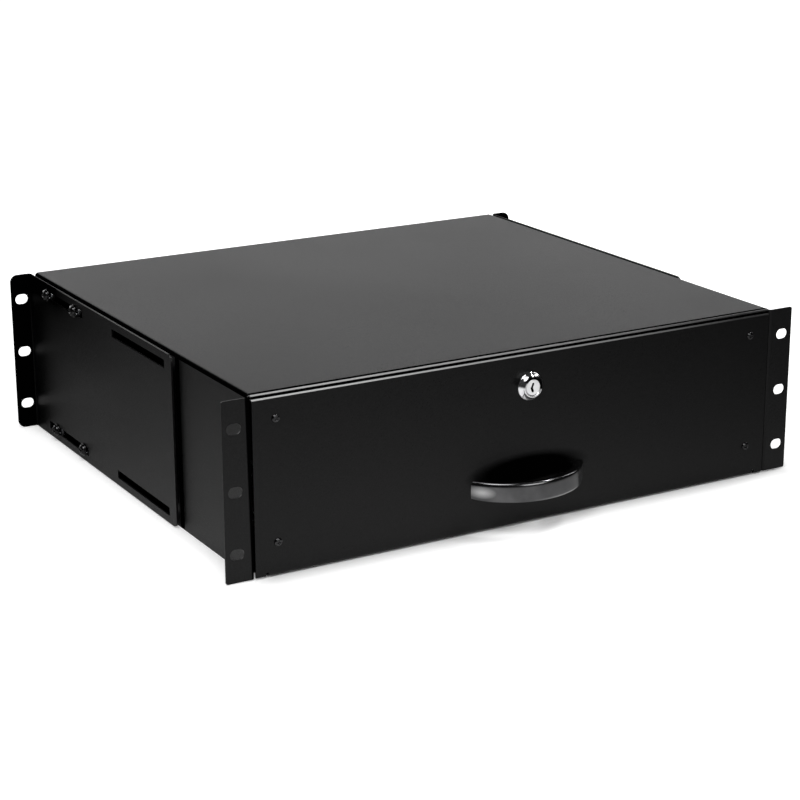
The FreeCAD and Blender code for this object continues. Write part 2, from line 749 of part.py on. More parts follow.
def build_tray():
    """Floor and sides bent from one sheet, with a hem along each side's rim."""
    body = new_body("drawer_tray")
    extrude(body, "XZ_Plane", "sheet", "tray_rear - sheet", polygon(
        ("-rail_face", "tray_rim"), ("-rail_face", "tray_bottom", "bend + sheet"),
        ("rail_face", "tray_bottom", "bend + sheet"), ("rail_face", "tray_rim"),
        ("rail_face - sheet", "tray_rim"),
        ("rail_face - sheet", "tray_bottom + sheet", "bend"),
        ("sheet - rail_face", "tray_bottom + sheet", "bend"),
        ("sheet - rail_face", "tray_rim")))
    extrude(body, "XZ_Plane", "hem_setback", "tray_rear - hem_setback", *[
        rectangle(f"{side} * (rail_face - 2 * sheet)", "tray_rim - hem_height",
                  f"{side} * (rail_face - sheet)", "tray_rim") for side in SIDES.values()])
    cut(body, "YZ_Plane", "-rail_face - sheet", "rail_face + sheet", *[
        circle(y, "rail_z", "screw_radius + hole_play") for y in rail_screw_places()])
    return body


def build_tray_wall(label, front, rear, rim):
    """End wall welded across the tray, its lower corners rounded with the floor's bends."""
    body = new_body(label)
    extrude(body, "XZ_Plane", front, rear, polygon(
        ("-rail_face", "tray_bottom", "bend + sheet"), ("rail_face", "tray_bottom", "bend + sheet"),
        ("rail_face", rim), ("-rail_face", rim)))
    return body


def front_holes(body, front, rear):
    """Holes that the front's screws and the lock's barrel pass through."""
    cut(body, "XZ_Plane", front, rear, *[
        circle(x, z, "screw_radius + hole_play")
        for x, z in front_screw_places() + handle_screw_places()],
        circle("0", "lock_z", "barrel_radius + hole_play"))


def build_tray_front():
    body = build_tray_wall("tray_front_wall", "0", "sheet", "tray_front_top")
    front_holes(body, "-sheet", "2 * sheet")
    return body


def build_tray_rear():
    return build_tray_wall("tray_rear_wall", "tray_rear - sheet", "tray_rear", "tray_rim")


def build_front_panel():
    """Face plate: bent back along its whole top edge and, between two notches, its foot."""
    body = new_body("front_panel")
    face, foot = "-sheet", "panel_bottom"
    inside, notch = "panel_half - panel_end", "panel_half - panel_end + notch_width"
    top_run = [("panel_top_flange - sheet", "panel_top - sheet"),
               ("panel_top_flange - sheet", "panel_top"), (face, "panel_top", "bend + sheet")]
    extrude(body, "YZ_Plane", f"-({inside})", inside, polygon(
        ("0", "panel_top - sheet", "bend"), *top_run, (face, foot, "bend + sheet"),
        ("panel_bottom_flange - sheet", foot), ("panel_bottom_flange - sheet", f"{foot} + sheet"),
        ("0", f"{foot} + sheet", "bend")))
    for side in SIDES.values():
        extrude(body, "YZ_Plane", *sided(side, inside, "panel_half"), polygon(
            ("0", "panel_top - sheet", "bend"), *top_run, (face, f"{foot} + panel_end_step"),
            ("0", f"{foot} + panel_end_step")))
        cut(body, "XZ_Plane", "-2 * sheet", "sheet", rectangle(
            f"{side} * ({inside})", f"{foot} - sheet", f"{side} * ({notch})",
            f"{foot} + notch_height"))
    front_holes(body, "-2 * sheet", "sheet")
    return body


def rods(body, low, high, spots, radius, bore=None):
    """A round piece along Y at every spot, with a bore where one is given."""
    extrude(body, "XZ_Plane", low, high, *[
        circle(x, z, size) for x, z in spots for size in (radius, bore) if size])


def round_heads(body, radius, face):
    """Dome the rims of screw heads whose outer faces lie at one y."""
    round_edges(body, "head_edge", lambda edge: isinstance(edge.Curve, Part.Circle)
                and near(edge.Curve.Radius, radius) and near(edge.Curve.Center.y, face))


def taper_rim(body, radius, face, inward, along):
    """Cut the rim at one y down to a cone: so far inward at the face, so far along the side."""
    base = body.Tip
    names = [f"Edge{number}" for number, edge in enumerate(base.Shape.Edges, 1)
             if isinstance(edge.Curve, Part.Circle) and near(edge.Curve.Radius, radius)
             and near(edge.Curve.Center.y, face)]
    feature = body.newObject("PartDesign::Chamfer", body.Name + "_taper")
    feature.Base = (base, names)
    feature.ChamferType = "Two distances"
    feature.setExpression("Size", bound(along))
    feature.setExpression("Size2", bound(inward))
    doc.recompute()
    return feature


def build_front_screws():
    body = new_body("front_panel_screws")
    rods(body, "-sheet", "sheet + nut_length + screw_end", front_screw_places(), "screw_radius")
    rods(body, "-sheet - screw_head_height", "-sheet", front_screw_places(), "screw_head")
    round_heads(body, "screw_head", "-sheet - screw_head_height")
    return body


def build_front_nuts():
    body = new_body("front_panel_nuts")
    rods(body, "sheet", "sheet + nut_length", front_screw_places(), "nut_radius", "screw_radius")
    return body


def build_handle():
    """Bow pull: a crescent between two arcs, thick at its feet, with softened edges."""
    body = new_body("handle")
    low, high = "handle_z - handle_height / 2", "handle_z + handle_height / 2"
    sketch = sketch_at(body, "XY_Plane", low)
    arcs = []
    for half, radius, reach in (("handle_half", "handle_radius", "handle_projection"),
                                ("grip_half", "grip_radius", "grip_depth")):
        centre = FreeCAD.Vector(0, value(f"{radius} - {reach} - sheet"), 0)
        ends = [FreeCAD.Vector(side * value(half), value("-sheet"), 0) for side in (-1, 1)]
        arc = sketch.addGeometry(arc_between(centre, value(radius), *ends))
        sketch.addConstraint(Sketcher.Constraint("PointOnObject", arc, 3, -2))
        fix_radius(sketch, arc, radius)
        fix_point(sketch, arc, 1, f"-{half}", "-sheet")
        fix_point(sketch, arc, 2, None, "-sheet")
        arcs.append((arc, ends))
    (outer, outer_ends), (inner, inner_ends) = arcs
    for end in (0, 1):
        foot = sketch.addGeometry(Part.LineSegment(outer_ends[end], inner_ends[end]))
        sketch.addConstraint(Sketcher.Constraint("Coincident", foot, 1, outer, end + 1))
        sketch.addConstraint(Sketcher.Constraint("Coincident", foot, 2, inner, end + 1))
    pad = body.newObject("PartDesign::Pad", "handle_pad")
    pad.Profile = sketch
    pad.setExpression("Length", bound("handle_height"))
    doc.recompute()
    round_edges(body, "handle_edge", lambda edge: isinstance(edge.Curve, Part.Circle)
                and near(edge.Curve.Radius, "handle_radius"))
    cut(body, "XZ_Plane", "-sheet - handle_screw_depth", "-sheet", *[
        circle(x, z, "screw_radius") for x, z in handle_screw_places()])
    return body


def build_handle_screws():
    body = new_body("handle_screws")
    rods(body, "-sheet - handle_screw_depth", "sheet", handle_screw_places(), "screw_radius")
    rods(body, "sheet", "sheet + screw_head_height", handle_screw_places(), "screw_head")
    round_heads(body, "screw_head", "sheet + screw_head_height")
    return body


# ---- lock ----

def build_lock_housing():
    """Barrel through the panel, a flange that tapers to a collar, and a stepped bore."""
    body = new_body("lock_housing")
    centre = [("0", "lock_z")]
    rods(body, "-sheet", "cam_front - clamp_gap", centre, "barrel_radius")
    rods(body, "collar_face", "-sheet", centre, "flange_radius")
    taper_rim(body, "flange_radius", "collar_face", "flange_radius - collar_radius",
              "collar_length - flange_length")
    cut(body, "XZ_Plane", "collar_face", "cam_front",
        circle("0", "lock_z", "plug_radius + running_gap"))
    cut(body, "XZ_Plane", "collar_face", "collar_face + plug_recess + plug_rim_length",
        circle("0", "lock_z", "plug_rim_radius + running_gap"))
    return body


def build_lock_nut():
    """Six-sided nut that draws the collar against the panel."""
    body = new_body("lock_nut")
    corners = [(f"lock_nut_width / sqrt(3) * cos({angle})",
                f"lock_z + lock_nut_width / sqrt(3) * sin({angle})")
               for angle in range(0, 360, 60)]
    extrude(body, "XZ_Plane", "sheet", "sheet + lock_nut_length", polygon(*corners),
            circle("0", "lock_z", "barrel_radius"))
    return body


def build_lock_plug():
    """Turning plug: a rim at the face, a stepped key slot, a square end for the cam."""
    body = new_body("lock_plug")
    centre = [("0", "lock_z")]
    face = "collar_face + plug_recess"
    rods(body, face, "cam_front", centre, "plug_radius")
    rods(body, face, f"{face} + plug_rim_length - running_gap", centre, "plug_rim_radius")
    half = "cam_square / 2"
    extrude(body, "XZ_Plane", "cam_front", "cam_rear",
            rectangle(f"-{half}", f"lock_z - {half}", half, f"lock_z + {half}"))
    wide, tall = "keyway_width / 2", "keyway_height / 2"
    cut(body, "XZ_Plane", face, f"{face} + keyway_depth", polygon(
        (f"-{wide}", f"lock_z - {tall}"), (wide, f"lock_z - {tall}"),
        (wide, f"lock_z - {tall} / 3"), (f"{wide} * 2", f"lock_z - {tall} / 3"),
        (f"{wide} * 2", f"lock_z + {tall} / 3"), (wide, f"lock_z + {tall} / 3"),
        (wide, f"lock_z + {tall}"), (f"-{wide}", f"lock_z + {tall}")))
    return body


def build_lock_cam():
    """Flat arm on the plug's square end; it lies level while the lock is open."""
    body = new_body("lock_cam")
    half, tip = "cam_width / 2", "cam_width / 2 - bend / 2"
    extrude(body, "XZ_Plane", "cam_front", "cam_rear", polygon(
        (f"-{half}", f"lock_z - {half}", tip), ("cam_reach", f"lock_z - {half}", "bend"),
        ("cam_reach", f"lock_z + {half}", "bend"), (f"-{half}", f"lock_z + {half}", tip)),
        rectangle("-cam_square / 2", "lock_z - cam_square / 2",
                  "cam_square / 2", "lock_z + cam_square / 2"))
    return body


def build_cam_screw():
    body = new_body("cam_screw")
    centre = [("0", "lock_z")]
    rods(body, "cam_rear", "cam_rear + screw_head_height", centre, "bolt_head")
    round_heads(body, "bolt_head", "cam_rear + screw_head_height")
    return body


# ---- the whole drawer ----

def build_all():
    """Every sub-part, each in a body whose label names its file."""
    parts = [build_casing_shell(), build_casing_bottom(), build_back_panel(),
             build_back_rivets(), build_lock_strike(), build_bracket_screws(),
             build_bracket_washers(), build_bracket_spacers(), build_bracket_nuts(),
             build_outer_rail_screws(), build_inner_rail_screws(), build_bumpers()]
    for name, side in SIDES.items():
        parts += [build_bracket(name, side), build_outer_rail(name, side),
                  build_middle_rail(name, side), build_inner_rail(name, side)]
        parts += [build_cage(name, side, "outer", "rail_sheet + cage_gap",
                             "lip_outer - rail_sheet - cage_gap"),
                  build_cage(name, side, "inner", "middle_web + rail_sheet + cage_gap",
                             "lip_middle - rail_sheet - cage_gap")]
        parts += [build_balls(name, side, "outer"), build_balls(name, side, "inner")]
    parts += [build_tray(), build_tray_front(), build_tray_rear(), build_front_panel(),
              build_front_screws(), build_front_nuts(), build_handle(), build_handle_screws(),
              build_lock_housing(), build_lock_nut(), build_lock_plug(), build_lock_cam(),
              build_cam_screw()]
    return parts


def check(parts):
    """Stop at any failed feature, empty or broken shape, or pocket that removed nothing."""
    for item in doc.Objects:
        if "Invalid" in item.State or "Error" in item.State:
            raise RuntimeError(f"{item.Name} failed: {item.getStatusString()}")
        if item.isDerivedFrom("PartDesign::Pocket"):
            if item.Shape.Volume > item.BaseFeature.Shape.Volume - 1e-3:
                raise RuntimeError(f"{item.Name} removed nothing")
    for part in parts:
        if part.Shape.isNull() or not part.Shape.isValid():
            raise RuntimeError(f"{part.Label} has no sound shape")


parts = build_all()
doc.recompute()
check(parts)
os.makedirs("parts", exist_ok=True)
for part in parts:
    part.Shape.exportStep(f"parts/{part.Label}.step")
    print(f"{part.Label}: {len(part.Shape.Solids)} solids, {part.Shape.Volume:.1f} mm3")
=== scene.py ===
"""Looks for the sliding rack drawer: finishes for every steel piece, turned and threaded
fasteners, the bow pull, the cam lock, and a pale studio with soft light.

Lengths are in metres in the part's frame: +X right, +Y to the rear, +Z up, the origin in the
middle of the front slot pattern on the ears' back face.
"""
import json
import math

import bpy
import numpy as np
from mathutils import Matrix, Vector


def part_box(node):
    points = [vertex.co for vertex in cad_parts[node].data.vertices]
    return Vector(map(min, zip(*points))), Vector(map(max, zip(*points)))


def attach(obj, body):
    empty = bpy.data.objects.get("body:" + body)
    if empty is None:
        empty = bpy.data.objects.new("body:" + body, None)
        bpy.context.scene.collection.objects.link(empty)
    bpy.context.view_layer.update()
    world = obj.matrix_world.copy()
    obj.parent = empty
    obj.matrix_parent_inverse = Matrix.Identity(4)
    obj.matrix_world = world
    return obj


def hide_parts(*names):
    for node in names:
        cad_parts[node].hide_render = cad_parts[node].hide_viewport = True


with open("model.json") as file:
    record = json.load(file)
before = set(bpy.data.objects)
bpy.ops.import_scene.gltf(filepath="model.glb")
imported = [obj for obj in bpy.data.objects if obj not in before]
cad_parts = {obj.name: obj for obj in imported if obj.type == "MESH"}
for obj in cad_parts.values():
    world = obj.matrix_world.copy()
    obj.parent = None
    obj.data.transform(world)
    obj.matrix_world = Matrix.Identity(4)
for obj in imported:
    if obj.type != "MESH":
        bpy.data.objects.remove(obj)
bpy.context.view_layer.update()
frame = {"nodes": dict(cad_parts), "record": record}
MM = 0.001
SLOT_OF = {part["node"]: part["material_slot"] for part in frame["record"]["subparts"]}
BODY_OF = {node: body for body, nodes in frame["record"]["behaviour"]["bodies"].items()
           for node in nodes}


# ---- shader node helpers ----

class Nodes:
    """Adds shader nodes to one tree and links them; a plain value sets a socket instead."""

    def __init__(self, tree):
        self.tree = tree
        tree.nodes.clear()

    def add(self, kind, outputs=0, settings=None, **inputs):
        node = self.tree.nodes.new("ShaderNode" + kind)
        for key, content in (settings or {}).items():
            setattr(node, key, content)
        for key, content in inputs.items():
            self.plug(node, key.replace("_", " "), content)
        return node.outputs[outputs] if node.outputs else node

    def plug(self, node, key, content):
        by_number = key[0] == "n" and key[1:].isdigit()
        socket = node.inputs[int(key[1:]) if by_number else key]
        if isinstance(content, bpy.types.NodeSocket):
            self.tree.links.new(content, socket)
        elif isinstance(content, tuple) and socket.type == "RGBA":
            socket.default_value = (*content, 1.0)
        else:
            socket.default_value = content

    def math(self, operation, first, second=0.0, clamp=False):
        return self.add("Math", settings={"operation": operation, "use_clamp": clamp},
                        n0=first, n1=second)

    def vector_math(self, operation, first, second=(0.0, 0.0, 0.0), output=0):
        return self.add("VectorMath", output, {"operation": operation}, n0=first, n1=second)

    def length(self, vector):
        return self.vector_math("LENGTH", vector, output="Value")

    def remap(self, value, low, high, to_low=0.0, to_high=1.0):
        return self.add("MapRange", settings={"clamp": True}, Value=value, From_Min=low,
                        From_Max=high, To_Min=to_low, To_Max=to_high)

    def zone(self, place, low, high, soft=0.0004):
        """1 inside the box from low to high and 0 outside it; x counts from the middle plane,
        so one box marks both sides."""
        split = self.add("SeparateXYZ", "X", Vector=place).node
        mask = None
        for axis, start, stop in zip("XYZ", low, high):
            value = split.outputs[axis]
            value = self.math("ABSOLUTE", value) if axis == "X" else value
            inside = self.math("MULTIPLY", self.remap(value, start - soft, start + soft),
                               self.remap(value, stop - soft, stop + soft, 1.0, 0.0))
            mask = inside if mask is None else self.math("MULTIPLY", mask, inside)
        return mask

    def noise(self, vector, scale, detail=2.0, roughness=0.5):
        return self.add("TexNoise", Vector=vector, Scale=scale, Detail=detail,
                        Roughness=roughness)

    def mix(self, amount, first, second):
        node = self.tree.nodes.new("ShaderNodeMix")
        node.data_type = "RGBA"
        for socket, content in ((node.inputs[0], amount), (node.inputs[6], first),
                                (node.inputs[7], second)):
            if isinstance(content, bpy.types.NodeSocket):
                self.tree.links.new(content, socket)
            else:
                socket.default_value = (*content, 1.0) if isinstance(content, tuple) else content
        return node.outputs[2]


def effect(name, inputs, outputs):
    """A shader node group with named sockets: its nodes, its inputs and its output node."""
    tree = bpy.data.node_groups.new(name, "ShaderNodeTree")
    for key, (kind, start) in inputs.items():
        socket = tree.interface.new_socket(key, in_out="INPUT", socket_type="NodeSocket" + kind)
        if start is not None:
            socket.default_value = (*start, 1.0) if kind == "Color" else start
    for key, kind in outputs.items():
        tree.interface.new_socket(key, in_out="OUTPUT", socket_type="NodeSocket" + kind)
    nodes = Nodes(tree)
    source = tree.nodes.new("NodeGroupInput").outputs
    sink = tree.nodes.new("NodeGroupOutput")
    return tree, nodes, source, sink


def make_powder_texture():
    """Fine orange peel of a baked powder coat: leathery grain with finer pits over it, and a
    slight drift of gloss and shade over a hand's width."""
    tree, nodes, source, sink = effect(
        "powder_texture",
        {"Vector": ("Vector", None), "Shade": ("Color", (0.02, 0.02, 0.02)),
         "Highlight": ("Color", (0.04, 0.04, 0.04)), "Grain per metre": ("Float", 1400.0),
         "Gloss": ("Float", 0.4), "Gloss spread": ("Float", 0.1)},
        {"Color": "Color", "Roughness": "Float", "Height": "Float"})
    grain = nodes.noise(source["Vector"], source["Grain per metre"], 3.0, 0.6)
    finer = nodes.math("MULTIPLY", source["Grain per metre"], 2.7)
    fine = nodes.noise(source["Vector"], finer, 1.0)
    drift = nodes.noise(source["Vector"], 9.0, 2.0)
    height = nodes.math("ADD", grain, nodes.math("MULTIPLY", fine, 0.35))
    peaks = nodes.remap(height, 0.62, 0.85)
    colour = nodes.mix(nodes.math("ADD", nodes.math("MULTIPLY", peaks, 0.7),
                                  nodes.math("MULTIPLY", drift, 0.3)),
                       source["Shade"], source["Highlight"])
    wave = nodes.math("ADD", nodes.math("MULTIPLY", drift, 0.3), grain)
    gloss = nodes.math("ADD", source["Gloss"], nodes.math(
        "MULTIPLY", source["Gloss spread"], nodes.math("SUBTRACT", wave, 0.65)), clamp=True)
    for key, content in (("Color", colour), ("Roughness", gloss), ("Height", height)):
        nodes.tree.links.new(content, sink.inputs[key])
    return tree


def make_plating():
    """Zinc or nickel plating: soft cloudy patches and fine lengthwise drawing marks."""
    tree, nodes, source, sink = effect(
        "plating",
        {"Vector": ("Vector", None), "Bright": ("Color", (0.7, 0.7, 0.7)),
         "Dull": ("Color", (0.5, 0.5, 0.5)), "Gloss": ("Float", 0.3),
         "Clouds per metre": ("Float", 60.0), "Marks": ("Float", 1.0)},
        {"Color": "Color", "Roughness": "Float", "Height": "Float"})
    clouds = nodes.noise(source["Vector"], source["Clouds per metre"], 3.0, 0.55)
    stretched = nodes.vector_math("MULTIPLY", source["Vector"], (1.0, 0.02, 1.0))
    marks = nodes.math("MULTIPLY", nodes.noise(stretched, 2600.0, 2.0), source["Marks"])
    colour = nodes.mix(nodes.remap(clouds, 0.35, 0.7), source["Bright"], source["Dull"])
    gloss = nodes.math("ADD", source["Gloss"], nodes.math(
        "MULTIPLY", nodes.math("ADD", clouds, marks), 0.12))
    for key, content in (("Color", colour), ("Roughness", gloss), ("Height", marks)):
        nodes.tree.links.new(content, sink.inputs[key])
    return tree


POWDER = make_powder_texture()
PLATING = make_plating()
# the colour of painted shade
NEAR_BLACK = (0.0006, 0.0006, 0.0006)


def finish(name, group, values, bump, depth, rubbed=None, dim=None, **shader):
    """A material whose colour, gloss and bump come from one effect group in object space.
    An optional mask function with a paler colour paints a highlight there. Another optional
    mask function marks painted shade: places that turn near black and lose their gloss."""
    material = bpy.data.materials.new(name)
    material.use_nodes = True
    nodes = Nodes(material.node_tree)
    place = nodes.add("TexCoord", "Object")
    node = material.node_tree.nodes.new("ShaderNodeGroup")
    node.node_tree = group
    nodes.plug(node, "Vector", place)
    for key, content in values.items():
        nodes.plug(node, key, content)
    normal = nodes.add("Bump", Height=node.outputs["Height"], Strength=bump, Distance=depth)
    colour = node.outputs["Color"]
    if rubbed:
        colour = nodes.mix(rubbed[0](nodes, place), colour, rubbed[1])
    shade = dim(nodes, place) if dim else None
    if shade:
        colour = nodes.mix(shade, colour, NEAR_BLACK)
    surface = nodes.add("BsdfPrincipled", Base_Color=colour,
                        Roughness=node.outputs["Roughness"], Normal=normal)
    principled = surface.node
    for key, content in shader.items():
        nodes.plug(principled, key.replace("_", " "), content)
    if shade:
        nodes.plug(principled, "Specular IOR Level",
                   nodes.remap(shade, 0.0, 1.0, shader.get("Specular_IOR_Level", 0.5), 0.0))
    nodes.add("OutputMaterial", Surface=surface)
    return material


# ---- places that the finishes use ----

BRACKET_LOW, BRACKET_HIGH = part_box("left_rear_bracket")
BRACKET_FRONT, BRACKET_REAR = BRACKET_LOW[1], BRACKET_HIGH[1]
BRACKET_WALL = -BRACKET_HIGH[0]  # how far from the middle plane the brackets begin
SIDE_LIMIT = BRACKET_WALL - 0.0004
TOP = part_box("casing_shell")[1][2]
PANEL_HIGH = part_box("front_panel")[1]
PANEL_HALF, PANEL_TOP = PANEL_HIGH[0], PANEL_HIGH[2]
PULL_LOW, PULL_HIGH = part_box("handle")
PLUG_LOW, PLUG_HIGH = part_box("lock_plug")
LOCK_LEVEL = (PLUG_LOW[2] + PLUG_HIGH[2]) / 2
FAR = 1.0  # past the part's end, whichever way


# ---- masks: 1 where a finish gets painted highlight or painted shade ----

def fading(nodes, place, mask):
    """A mask that weakens along the front, to a twentieth near its right end."""
    along = nodes.add("SeparateXYZ", "X", Vector=place)
    return nodes.math("MULTIPLY", mask, nodes.remap(along, -0.16, 0.19, 1.0, 0.05))


def casing_painted_highlight(nodes, place):
    """Painted highlight: the nose along the front of the top sheet, painted paler in place of light
    catching the edge.
    """
    nose = nodes.zone(place, (-FAR, -FAR, TOP - 0.0014),
                      (PANEL_HALF + 0.0006, 0.0016, TOP - 0.0003), 0.0001)
    return fading(nodes, place, nose)


def casing_shade(nodes, place):
    """Painted shade in the folds and where parts shadow the casing. A seam beside the panel, on
    the left only, leans in by 2 mm from top to foot. Boxes mark the fold under the top sheet's
    side edge, the one behind the nose, the wall just ahead of a bracket and behind it, and the
    front of the rear ears. The upper rear corner of each bracket darkens by degrees, painted
    shade as well."""
    split = nodes.add("SeparateXYZ", "X", Vector=place).node
    height = split.outputs["Z"]
    lean = nodes.add("CombineXYZ", X=nodes.remap(height, -TOP, TOP, 0.002, 0.0))
    side = nodes.vector_math("MINIMUM", nodes.vector_math("SUBTRACT", place, lean),
                             (0.0, 0.0, 0.0))
    seam = nodes.zone(side, (PANEL_HALF, -FAR, -FAR), (PANEL_HALF + 0.005, FAR, FAR))
    front = nodes.zone(place, (-FAR, -FAR, -FAR), (FAR, 0.0003, FAR), 0.0002)
    shade = nodes.math("MULTIPLY", seam, front)
    side_fold = ((PANEL_HALF - 0.001, 0.002, TOP - 0.003), (SIDE_LIMIT, FAR, TOP - 0.0001))
    nose_fold = ((-FAR, 0.0012, TOP - 0.0004), (FAR, 0.0042, FAR))
    wall_ahead = ((PANEL_HALF + 0.001, BRACKET_FRONT - 0.0045, -FAR),
                  (SIDE_LIMIT, BRACKET_FRONT + 0.0025, TOP - 0.001))
    wall_behind = ((PANEL_HALF + 0.001, BRACKET_FRONT + 0.009, -FAR),
                   (SIDE_LIMIT, FAR, TOP - 0.001))
    rear_ear = ((BRACKET_WALL + 0.002, BRACKET_REAR - 0.003, -FAR),
                (FAR, BRACKET_REAR - 0.0003, FAR))
    for low, high in (side_fold, nose_fold, wall_ahead, wall_behind, rear_ear):
        shade = nodes.math("MAXIMUM", shade, nodes.zone(place, low, high, 0.0002))
    corner = nodes.math("MULTIPLY", nodes.remap(split.outputs["Y"], 0.2, 0.34),
                        nodes.remap(height, TOP - 0.06, TOP - 0.014))
    plate = nodes.zone(place, (BRACKET_WALL + 0.0004, 0.0, -FAR), (FAR, FAR, FAR), 0.0002)
    return nodes.math("MAXIMUM", shade, nodes.math("MULTIPLY", corner, plate))


def panel_painted_highlight(nodes, place):
    """Painted highlight: the panel's top bend, painted paler in place of light catching the edge.
    """
    bend = nodes.zone(place, (-FAR, -FAR, PANEL_TOP - 0.0019), (FAR, FAR, PANEL_TOP - 0.0009),
                      0.00015)
    return fading(nodes, place, bend)


def panel_shade(nodes, place):
    """Painted shade in the gap over the top bend, and a painted shadow of the bow pull: an oval
    behind it.
    """
    middle = ((PULL_LOW[0] + PULL_HIGH[0]) / 2 + 0.001, 0.0, PULL_HIGH[2] + 0.001)
    spread = nodes.vector_math("MULTIPLY", nodes.vector_math("SUBTRACT", place, middle),
                               (20.4, 0.0, 80.0))
    oval = nodes.remap(nodes.length(spread), 0.7, 1.1, 1.0, 0.0)
    gap = nodes.zone(place, (-FAR, -FAR, PANEL_TOP - 0.0008), (FAR, FAR, FAR), 0.0001)
    return nodes.math("MAXIMUM", oval, gap)


def pull_painted_reflections(nodes, place):
    """Painted reflections, paler than the plating: the bow's foot edge, more so to the right,
    its right end and a patch on its left cheek."""
    split = nodes.add("SeparateXYZ", "X", Vector=place).node
    across, height = split.outputs["X"], split.outputs["Z"]
    foot = nodes.math("MULTIPLY", nodes.remap(across, -0.01, 0.03, 0.0, 0.8), nodes.remap(
        height, PULL_LOW[2] + 0.0003, PULL_LOW[2] + 0.0014, 1.0, 0.0))
    tip = nodes.remap(across, 0.034, 0.05, 0.0, 0.5)
    patch = nodes.vector_math("SUBTRACT", place, (-0.0425, -0.012, PULL_LOW[2] + 0.0065))
    patch = nodes.vector_math("MULTIPLY", patch, (160.0, 40.0, 260.0))
    cheek = nodes.remap(nodes.length(patch), 0.2, 1.3, 0.8, 0.0)
    return nodes.math("MAXIMUM", nodes.math("MAXIMUM", foot, tip), cheek)


def collar_shade(nodes, place):
    """Painted shade, a dark reflection painted on the upper half of the lock collar's bevel: dark
    out to 7.9 mm and a quarter as dark past 8.5 mm. The border of the dark half falls to the
    right, one part in two."""
    out = nodes.vector_math("SUBTRACT", place, (0.0, 0.0, LOCK_LEVEL))
    out = nodes.vector_math("MULTIPLY", out, (1.0, 0.0, 1.0))
    split = nodes.add("SeparateXYZ", "X", Vector=out).node
    level = nodes.math("ADD", split.outputs["Z"],
                       nodes.math("MULTIPLY", split.outputs["X"], 0.5))
    inner = nodes.remap(nodes.length(out), 0.0079, 0.0085, 1.0, 0.25)
    return nodes.math("MULTIPLY", inner, nodes.remap(level, 0.0006, 0.0016))


def keyway_shade(nodes, place):
    """Painted shade in the depth of the key slot behind the plug's face."""
    return nodes.zone(place, (-FAR, PLUG_LOW[1] + 0.0003, LOCK_LEVEL - 0.0042),
                      (0.0024, PLUG_LOW[1] + 0.0076, LOCK_LEVEL + 0.0042), 0.0001)


def powder_coat(name, shade, highlight, gloss=0.31, spread=0.2, grain=1100.0, bump=0.85,
                depth=0.00015, **rest):
    """Baked powder coat. Shade and highlight are the dips' and peaks' colours, grain is in
    bumps per metre."""
    values = {"Shade": shade, "Highlight": highlight, "Gloss": gloss, "Gloss spread": spread,
              "Grain per metre": grain}
    return finish(name, POWDER, values, bump, depth, **rest)


def plated_metal(name, bright, dull, gloss, clouds, marks=0.0, bump=0.0, depth=0.00001,
                 metallic=1.0, **rest):
    """Plated or bare metal with cloudy patches, clouds per metre, between two colours."""
    values = {"Bright": bright, "Dull": dull, "Gloss": gloss, "Clouds per metre": clouds,
              "Marks": marks}
    return finish(name, PLATING, values, bump, depth, Metallic=metallic, **rest)


FINISHES = {
    "casing_coat": powder_coat(
        "black_powder_coat", (0.002, 0.002, 0.0021), (0.007, 0.007, 0.0073),
        rubbed=(casing_painted_highlight, (0.36, 0.36, 0.36)), dim=casing_shade, Specular_IOR_Level=0.22),
    "panel_coat": powder_coat(
        "black_front_coat", (0.0008, 0.0008, 0.0009), (0.0035, 0.0035, 0.0037),
        rubbed=(panel_painted_highlight, (0.42, 0.42, 0.42)), dim=panel_shade, Specular_IOR_Level=0.22),
    "black_screws": plated_metal(
        "black_zinc", (0.03, 0.03, 0.031), (0.015, 0.015, 0.016), gloss=0.12, clouds=300.0,
        marks=0.3, bump=0.1, depth=0.00003, Coat_Weight=0.6, Coat_Roughness=0.12),
    "zinc_fasteners": plated_metal(
        "bright_zinc", (0.68, 0.69, 0.71), (0.5, 0.51, 0.53), gloss=0.24, clouds=200.0,
        marks=0.3, bump=0.1, depth=0.00003),
    "slide_steel": plated_metal(
        "zinc_slide_steel", (0.66, 0.67, 0.69), (0.48, 0.49, 0.51), gloss=0.26, clouds=70.0,
        marks=1.0, bump=0.15, depth=0.00003),
    "cage_steel": plated_metal(
        "cold_rolled_strip", (0.6, 0.6, 0.62), (0.42, 0.42, 0.44), gloss=0.3, clouds=120.0,
        marks=0.8, bump=0.12, depth=0.00003),
    "ball_steel": plated_metal(
        "polished_balls", (0.8, 0.8, 0.81), (0.7, 0.7, 0.71), gloss=0.04, clouds=300.0),
    "bumper_rubber": powder_coat(
        "soft_rubber", (0.02, 0.02, 0.02), (0.03, 0.03, 0.03), gloss=0.8, spread=0.1,
        grain=2500.0, bump=0.2, depth=0.00008),
    "handle_metal": plated_metal(
        "black_nickel", (0.125, 0.125, 0.127), (0.075, 0.075, 0.077), gloss=0.1, clouds=45.0,
        rubbed=(pull_painted_reflections, (0.55, 0.55, 0.55))),
    "lock_chrome": plated_metal(
        "bright_chrome", (0.94, 0.94, 0.95), (0.86, 0.86, 0.88), gloss=0.06, clouds=250.0,
        dim=collar_shade),
    "plug_metal": plated_metal(
        "satin_nickel", (0.97, 0.97, 0.97), (0.9, 0.9, 0.91), gloss=0.16, clouds=300.0,
        marks=0.2, bump=0.05, depth=0.00002, metallic=0.2, dim=keyway_shade),
}

# Painted light: a lighter copy of the black powder coat for the inner parts, back and bottom
INNER_COAT_LIGHTENED = powder_coat(
    "inner_coat_painted_lighter", (0.011, 0.011, 0.0112), (0.028, 0.028, 0.0285), gloss=0.36,
    Specular_IOR_Level=0.3)
INNER_NODES = ("drawer_tray", "tray_front_wall", "tray_rear_wall", "casing_bottom", "back_panel",
               "lock_strike_rail")

for node_name, node in frame["nodes"].items():
    node.data.materials.clear()
    node.data.materials.append(
        INNER_COAT_LIGHTENED if node_name in INNER_NODES else FINISHES[SLOT_OF[node_name]])


# ---- surfaces on a grid of points ----

